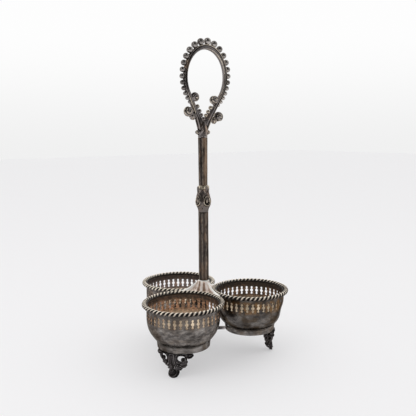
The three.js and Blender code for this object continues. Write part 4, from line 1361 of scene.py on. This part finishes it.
# %% [markdown]
# ## The carrying handle
# The handle is one casting: an oval ring on a fork, with a channel along its band, graduated beads round
# the ring and curled leaves in the fork. The band could be a profile carried along a path, but its
# width changes all the way. So it is drawn between two outlines, the inner and the outer, with a
# channelled section stretched between them.

# %% Outline of the handle
RING_HALF_WIDTH, RING_HALF_HEIGHT = 29.1, 35.5
RING_BAND, RING_TOP_BAND = 4.5, 6.4
RING_RISE = 77.0
RING_OPENING = math.radians(50)
RING_STEPS, LIMB_STEPS, TAIL_STEPS = 70, 40, 8
FORK_WIDTH = 13.0
FORK_CROTCH = 22.5
BAND_HALF_DEPTH = 3.2
BAND_ACROSS = [0, 0.0, 0.03, 0.10, 0.22, 0.38, 0.54, 0.66, 0.72, 0.78, 0.82, 0.90, 0.97, 1.0, 1.0]
BAND_DEEP = [0.2, 0.55, 0.72, 0.82, 0.88, 0.88, 0.82, 0.70, 0.62, 0.72, 0.96, 1.0, 0.98, 0.8, 0.2]


def curve_of_three(start, waist, foot, steps):
    """A curve from start to foot, drawn towards waist: start and foot count by the squares of the shares of
    the way left and gone, and waist by twice the product of both shares."""
    share = np.linspace(0, 1, steps)[:, None]
    return start * (1 - share) ** 2 + 2 * waist * share * (1 - share) + foot * share ** 2


def outline(grow, grow_up, waist, foot, tail):
    """Right half of an outline as (across, up): the ring as an oval from its top down to its
    opening, a curve of three places to the fork's foot, and a straight tail in the socket."""
    wide, tall = RING_HALF_WIDTH + grow, RING_HALF_HEIGHT + grow_up
    angle = np.linspace(0, math.pi - RING_OPENING, RING_STEPS)
    ring = np.stack([wide * np.sin(angle), RING_RISE + tall * np.cos(angle)], axis=-1)
    limb = curve_of_three(ring[-1], np.array(waist), np.array(foot), LIMB_STEPS)
    return np.concatenate([ring, limb[1:], np.linspace(foot, tail, TAIL_STEPS)[1:]])


inner_line = outline(0.0, 0.0, (10.7, 32.5), (1.0, FORK_CROTCH), (0.2, 9.0))
outer_line = outline(RING_BAND, RING_TOP_BAND, (FORK_WIDTH, 28.0), (6.5, 9.0), (6.2, 3.0))


def band():
    """The channelled band: at each step of the outlines a section whose points lie a share of the way
    from the inner to the outer one, and deep by the other list. The left half is its mirror image."""
    across = np.array(BAND_ACROSS + BAND_ACROSS[::-1])[None, :, None]
    deep = np.array(BAND_DEEP + [-part for part in BAND_DEEP[::-1]])[None, :] * BAND_HALF_DEPTH
    flat = inner_line[:, None] * (1 - across) + outer_line[:, None] * across
    right = np.stack(np.broadcast_arrays(flat[..., 0], deep, flat[..., 1]), axis=-1)
    left = right[::-1] * (-1, 1, 1)
    return shell(np.concatenate([left[:-1], right])[::-1])


handle_bottom, _ = levels_of("carrying_handle")
print("the handle's outline has", len(outer_line), "steps from the top of the ring to the socket")

# %% [markdown]
# The fork is filled with curled leaves. They could each be given a place of their own, but all of them
# grow from the limbs. So each is placed by two numbers: how far down a limb it sits, and how far off
# to one side. On the real handle the two sides aren't level, so the twins of a pair have drops.

# %% Ornaments of the fork
SCROLL_STEPS, LOBE_STEPS = (28, 40), (24, 32)
PEARLS = ((0.46, 2.9), (0.64, 2.8), (0.82, 2.5))  # share of the way down the fork's inside, and radius


def limb_place(line, share, off):
    """A place beside the lower part of an outline: a share of the way down, and off it to one side
    along the perpendicular."""
    lower = line[RING_STEPS - 1:RING_STEPS + LIMB_STEPS - 1]
    at = min(int(share * (LIMB_STEPS - 1)), LIMB_STEPS - 2)
    along = lower[at + 1] - lower[at]
    along = along / np.linalg.norm(along)
    return lower[at] + off * np.array([-along[1], along[0]])


def on_both(line, share, off, drops=(0, 0)):
    """A place beside the right limb and its mirror image beside the left, each lower by its drop in mm
    and each with its side, 1 or -1."""
    across, up = limb_place(line, share, off)
    return [((half * across, 0, up - drop), half) for half, drop in zip((1, -1), drops)]


def fork_ornaments():
    """A bud in the crotch, a pair of inner scrolls, a pair of outer ones, lobes below them and
    pearls down the inside of the fork."""
    parts = [ball((0, 0, FORK_CROTCH + 1), (2.8, 2.6, 2.8))]
    for at, half in on_both(inner_line, 0.12, -5.1, drops=(3.0, 2.0)):
        parts.append(ball(at, (6.2, 5.8, 6.2), volute(half, 1.0, depth=0.24), *SCROLL_STEPS))
    for at, half in on_both(outer_line, 0.30, 5.7, drops=(7.0, 4.0)):
        parts.append(ball(at, (6.7, 6.0, 6.7), volute(-half, 2.4, depth=0.24), *SCROLL_STEPS))
    for at, _ in on_both(outer_line, 0.56, 3.7, drops=(2.5, 0)):
        parts.append(ball(at, (4.6, 4.4, 5.0), ribs(3), *LOBE_STEPS))
    for share, radius in PEARLS:
        parts += [ball(at, (radius,) * 3) for at, _ in on_both(inner_line, share, -0.8 * radius)]
    return parts


print("ornaments of the fork", len(fork_ornaments()))

# %% [markdown]
# Below the fork a reeded socket grips the upper tube, between two curled ears. Round the ring sit beads
# that grow towards its top, each next to the one before. Both are laid out by formulas, because their
# parts follow each other in even steps.

# %% Socket and beads
SOCKET_REACH = 20.5
BEADS = 14
BEAD_STEPS = (16, 24)
TOP_BEAD, LAST_BEAD = 4.7, 2.1
TOP_STEP, LAST_STEP = 10.8, 5.3
BEAD_SEAT = 0.88


def socket_parts():
    """The foot of the fork: a reeded socket that narrows upwards, two curled ears, and leaves and ribs
    that cross in front and behind."""
    angle = around(72)[None, :]
    up = np.linspace(0, 1, 12)[:, None]
    radius = reeded(angle, 0) * (1 - 0.5 * np.clip(up - 0.5, 0, 1) * 2)
    base = polar(radius, angle, SOCKET_REACH * up)
    parts = [shell(np.concatenate([base[:1] * (0, 0, 1), base, base[-1:] * (0, 0, 1)]))]
    for half in (1, -1):
        parts.append(ball((half * 7.5, 0, 6.2), (4.1, 3.4, 3.1), volute(-half, 1.6, 5.5, 0.2)))
        for face in (1, -1):
            leaf = [(5.6, 2.0, 3.5), (3.2, 4.4, 8.5), (0.4, 3.6, 14)]
            rib = [(1.2, 2.4, 12), (4.2, 2.3, 19), (8.0, 2.2, 27)]
            parts.append(bar(np.array(leaf) * (half, face, 1), [1.3, 1.6, 0.8], 0.7))
            parts.append(bar(np.array(rib) * (half, face, 1), [0.7, 0.8, 0.6], 0.8))
    return parts


def handle_beads():
    """Graduated beads round the ring, each seated in the band. Radii and steps shrink evenly from the
    top bead, and a step over the oval's local radius is the next turn."""
    parts, angle = [], 0.0
    wide, tall = RING_HALF_WIDTH + RING_BAND, RING_HALF_HEIGHT + RING_TOP_BAND
    for place in range(BEADS):
        share = place / (BEADS - 1)
        radius = TOP_BEAD + (LAST_BEAD - TOP_BEAD) * share
        seat = BEAD_SEAT * radius
        across = (wide + seat) * math.sin(angle)
        up = RING_RISE + (tall + seat) * math.cos(angle)
        for half in (1,) if place == 0 else (1, -1):
            parts.append(ball((half * across, 0, up), (radius,) * 3, None, *BEAD_STEPS))
        step = TOP_STEP + (LAST_STEP - TOP_STEP) * share
        angle += step / math.hypot((wide + seat) * math.cos(angle), (tall + seat) * math.sin(angle))
    return parts


print("socket", len(socket_parts()), "parts, and", len(handle_beads()), "beads")

# %% [markdown]
# Band, leaves and socket are cast into one skin. The beads are joined to it uncast, because they are
# true balls with crisp seats. The leaning of the real handle comes last: everything above the socket
# is pushed sideways in step with its height, which is simpler than drawing each part askew.

# %% The handle
HANDLE_VOXEL = 0.42
HANDLE_LEAN = math.tan(math.radians(4.2))
LEAN_START = 6.0
SOCKET_HEIGHT = 10
SOCKET_EDGE = 1.2
BEAD_CREST = 0.3


def lean(points):
    """Leans everything above the socket to the right: sideways by its height times the lean, and lower
    on that side by its distance across times the lean."""
    across, out, up = points.T
    above = np.clip(up - LEAN_START, 0, None)
    tilt = HANDLE_LEAN * np.clip(above / SOCKET_HEIGHT, 0, 1)
    return np.stack([across + HANDLE_LEAN * above, out, up - across * tilt], axis=-1)


def painted_shade_and_tarnish(points):
    """Painted shade on the left limb of the fork and the ring's left side, and tarnish at the socket's
    lower edge: a ridge, a slope and a step, added up."""
    limb = ridge(np.hypot(points[:, 0] + 8, (points[:, 2] - 20) / 1.9), 7)
    ring = np.clip(-points[:, 0] / 25, 0, 1) * np.clip((points[:, 2] - 45) / 15, 0, 1)
    return 0.34 * limb + 0.3 * ring + 0.4 * (points[:, 2] < SOCKET_EDGE)


def painted_glint_places(points):
    """Two painted warm highlights: low on the right limb and high on the ring's left side, each a ridge
    round a spot.
    """
    across, up = points[:, 0], points[:, 2]
    limb = ridge(np.hypot(across - 5, (up - 17) / 1.9), 6)
    return limb + ridge(np.hypot(across + 30.5, (up - 88) / 1.6), 3.5)


def make_handle():
    """The cast skin with its crests, joined with the beads and their polish, then leant and set on the
    upper tube."""
    handle = solid("handle_cast", [band(), *fork_ornaments(), *socket_parts()])
    fuse(handle, HANDLE_VOXEL, smoothing=2)
    mark_crests(handle, rounds=26, height=0.38)
    lower_crest(handle, painted_shade_and_tarnish)
    beads = solid("handle_beads", handle_beads())
    across = read_points(beads.data)[:, 0]
    write_field(beads, "crest", np.full(len(across), BEAD_CREST))
    # polish falls towards the left side, so the beads there are darker
    write_field(beads, "polish", 0.9 - 0.5 * np.clip(-across / 30, 0, 1))
    write_field(handle, "polish", np.zeros(len(handle.data.vertices)))
    join(handle, beads)
    points = read_points(handle.data)
    # painted warm highlights on the right limb and the ring's upper left
    write_field(handle, "painted_glint", painted_glint_places(points))
    points[:, 2] = np.clip(points[:, 2], 0, None)
    write_points(handle.data, lean(points) + stem_axis + (0, 0, handle_bottom))
    dress(handle, "carrying_handle", HANDLE_CAST)


make_handle()

# %% [markdown]
# ## Underneath
# Flat straps run under the collars, and a washer and nut on the long rod clamp everything together.
# Only one strap is seen, between two bowls. Straps and nut could be drawn anew, but flat pieces have
# nothing to gain but softer corners. So they are copies of the solid model's own meshes, merged
# first so that they can be bevelled.

# %% Straps and nut
BEVEL_STEPS = 3
FLATNESS = 0.01


def softened(name, node, width, finish):
    """A copy of a node of the solid model with its flat faces joined and its corners rounded."""
    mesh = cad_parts[node].data.copy()
    edit = bmesh.new()
    edit.from_mesh(mesh)
    bmesh.ops.remove_doubles(edit, verts=edit.verts, dist=1e-6)
    bmesh.ops.dissolve_limit(edit, angle_limit=FLATNESS, verts=edit.verts, edges=edit.edges)
    edit.to_mesh(mesh)
    edit.free()
    piece = add_object(name, mesh)
    modify(piece, "BEVEL", width=width * MM, segments=BEVEL_STEPS)
    mark_crests(settle(piece), rounds=3, height=0.4)
    dress(piece, node, finish)


softened("straps_flat", "base_straps", 0.4, FOOT_CAST)
softened("nut_hexagonal", "clamp_nut", 0.35, STEEL)

# %% [markdown]
# The washer, the pillar and the rod were turned on a lathe, so they are profiles carried round the axis.
# A thread could be a coil wound on the rod. A radius that changes with height and angle is simpler
# and leaves no seam.

# %% Washer, pillar and rod
WASHER_RADIUS, PILLAR_RADIUS = 6.5, 5.0
CHAMFER = 0.3
TUBE_SIDES = 72
ROD_RADIUS = 2.4
ROD_SIDES, THREAD_STEPS = 24, 100
THREAD_LENGTH, THREAD_PITCH, THREAD_DEPTH = 9.0, 0.7, 0.45
POINT_LENGTH, POINT_SHARE = 0.6, 0.8


def tube(inner, outer, bottom, top):
    """A short tube with its outer corners cut off, as a turned profile."""
    radii = [inner, outer - CHAMFER, outer, outer, outer - CHAMFER, inner]
    heights = [bottom, bottom, bottom + CHAMFER, top - CHAMFER, top, top]
    return turned(radii, heights, TUBE_SIDES, close_rows=True)


def threaded_rod(bottom, top):
    """The rod, with a thread on its lower end: the radius falls and rises once a pitch, in step with the
    height plus the share of a turn. The first turns are thinner, so that a nut finds them."""
    angle = around(ROD_SIDES)[None, :]
    low = np.linspace(bottom + 0.01, bottom + THREAD_LENGTH, THREAD_STEPS)[:, None]
    wave = np.abs(((low / THREAD_PITCH + angle / (2 * math.pi)) % 1) - 0.5) * 2
    point = POINT_SHARE + (1 - POINT_SHARE) * np.clip((low - bottom) / POINT_LENGTH, 0, 1)
    thread = (ROD_RADIUS - THREAD_DEPTH * wave) * point
    radius = np.concatenate([thread, np.full((2, ROD_SIDES), ROD_RADIUS)])
    side = polar(radius, angle, np.concatenate([low, [[bottom + THREAD_LENGTH + 0.1], [top]]]))
    return shell(np.concatenate([side[:1] * (0, 0, 1), side, side[-1:] * (0, 0, 1)]))


turned_pieces = {
    ("washer_turned", "clamp_washer"): tube(ROD_BORE, WASHER_RADIUS, *levels_of("clamp_washer")),
    ("pillar_turned", "centre_pillar"): tube(ROD_BORE, PILLAR_RADIUS, *levels_of("centre_pillar")),
    ("rod_threaded", "tie_rod"): threaded_rod(*levels_of("tie_rod")),
}
for (name, node), part in turned_pieces.items():
    dress(mark_crests(solid(name, [moved(part, stem_axis)])), node, STEEL)

# %% [markdown]
# ## Floor and light
# The floor is pale and plain, and it carries the stand's soft shadow. Stronger lamps could make it
# white, but they would burn out the metal too. So part of its white is its own glow, seen by the
# camera and mirrored in the metal, and the rest is paint that takes the shadow.

# %% Floor
FLOOR_COLOUR = (0.90, 0.895, 0.905, 1)
GLOW_COLOUR = (0.885, 0.88, 0.89, 1)
FLOOR_GLOW = 0.45
FLOOR_REACH = 6.0


def floor_paint():
    """Plain paint that glows in part, but only to the camera and where the metal mirrors it."""
    paint = Finish("floor paint")
    paint.set(Base_Color=FLOOR_COLOUR, Roughness=0.7)
    glow = paint.node("ShaderNodeEmission", {}, {"Color": GLOW_COLOUR})
    share = (paint.ray("Camera") + paint.ray("Glossy")) * FLOOR_GLOW
    plain = Field(paint, paint.shader.outputs[0])
    both = paint.node("ShaderNodeMixShader", {}, {0: share, 1: plain, 2: glow})
    paint.feed(paint.tree.nodes["Material Output"].inputs["Surface"], both)
    return paint.material


floor_mesh = bpy.data.meshes.new("floor")
corners = [(x * FLOOR_REACH, y * FLOOR_REACH, 0) for x, y in ((-1, -1), (1, -1), (1, 1), (-1, 1))]
floor_mesh.from_pydata(corners, [], [(0, 1, 2, 3)])
floor_mesh.materials.append(floor_paint())
add_object("floor", floor_mesh)
print("floor", 2 * FLOOR_REACH, "m wide")

# %% [markdown]
# Metal shows what is round it, so the surroundings matter more than the lamps. They are white at the
# back, at the sides and overhead, and dark towards the side that the camera stands on, which gives the
# metal its dark half. They could be built as large objects to be mirrored. The world gives the same
# reflections with a few nodes, and two soft lamps add the shadow.

# %% Light
DARK_SIDE = Vector((-0.55, -0.78, 0.22)).normalized()
LAMP_TARGET = Vector((0, 0, 0.15))
LAMPS = {  # place and size in metres, and power in watts
    "key lamp": ((-1.3, -0.2, 1.5), 1.0, 3.5),
    "fill lamp": ((0.9, -1.2, 1.3), 1.4, 1.5),
}
PLAIN_LIGHT = 0.93
scene.view_settings.view_transform = "Standard"


def add_lamp(name, place, size, power):
    """A square soft lamp that faces the middle of the stand."""
    data = bpy.data.lights.new(name, "AREA")
    data.size = size
    data.energy = power
    lamp = add_object(name, data)
    lamp.location = place
    lamp.rotation_mode = "QUATERNION"
    lamp.rotation_quaternion = (LAMP_TARGET - Vector(place)).to_track_quat("-Z", "Y")


def light_the_room():
    """White of three kinds. Light on the stand is even. What the metal mirrors darkens as its direction
    nears the dark side. What the camera sees behind the stand pales from the horizon up."""
    world = bpy.data.worlds.new("white room")
    scene.world = world
    room = Shading(world, "Background", "Generated")
    dot = {"operation": "DOT_PRODUCT"}
    nearness = room.node("ShaderNodeVectorMath", dot, {0: room.place, 1: DARK_SIDE}, "Value")
    mirrored = room.rise(nearness, -0.45, 0.55, start=1.0, end=0.05)
    height = room.node("ShaderNodeSeparateXYZ", {}, {0: room.place}, "Z")
    behind = room.rise(height, -0.05, 0.16, start=0.872, end=0.985)
    on_stand = {"Factor": room.ray("Glossy"), "A": PLAIN_LIGHT, "B": mirrored}
    light = room.node("ShaderNodeMix", {}, on_stand, "Result")
    seen = {"Factor": room.ray("Camera"), "A": light, "B": behind}
    room.set(Color=(1, 1, 1, 1), Strength=room.node("ShaderNodeMix", {}, seen, "Result"))


for name, (place, size, power) in LAMPS.items():
    add_lamp(name, place, size, power)
light_the_room()
print("lamps", list(LAMPS), "in a", scene.world.name)
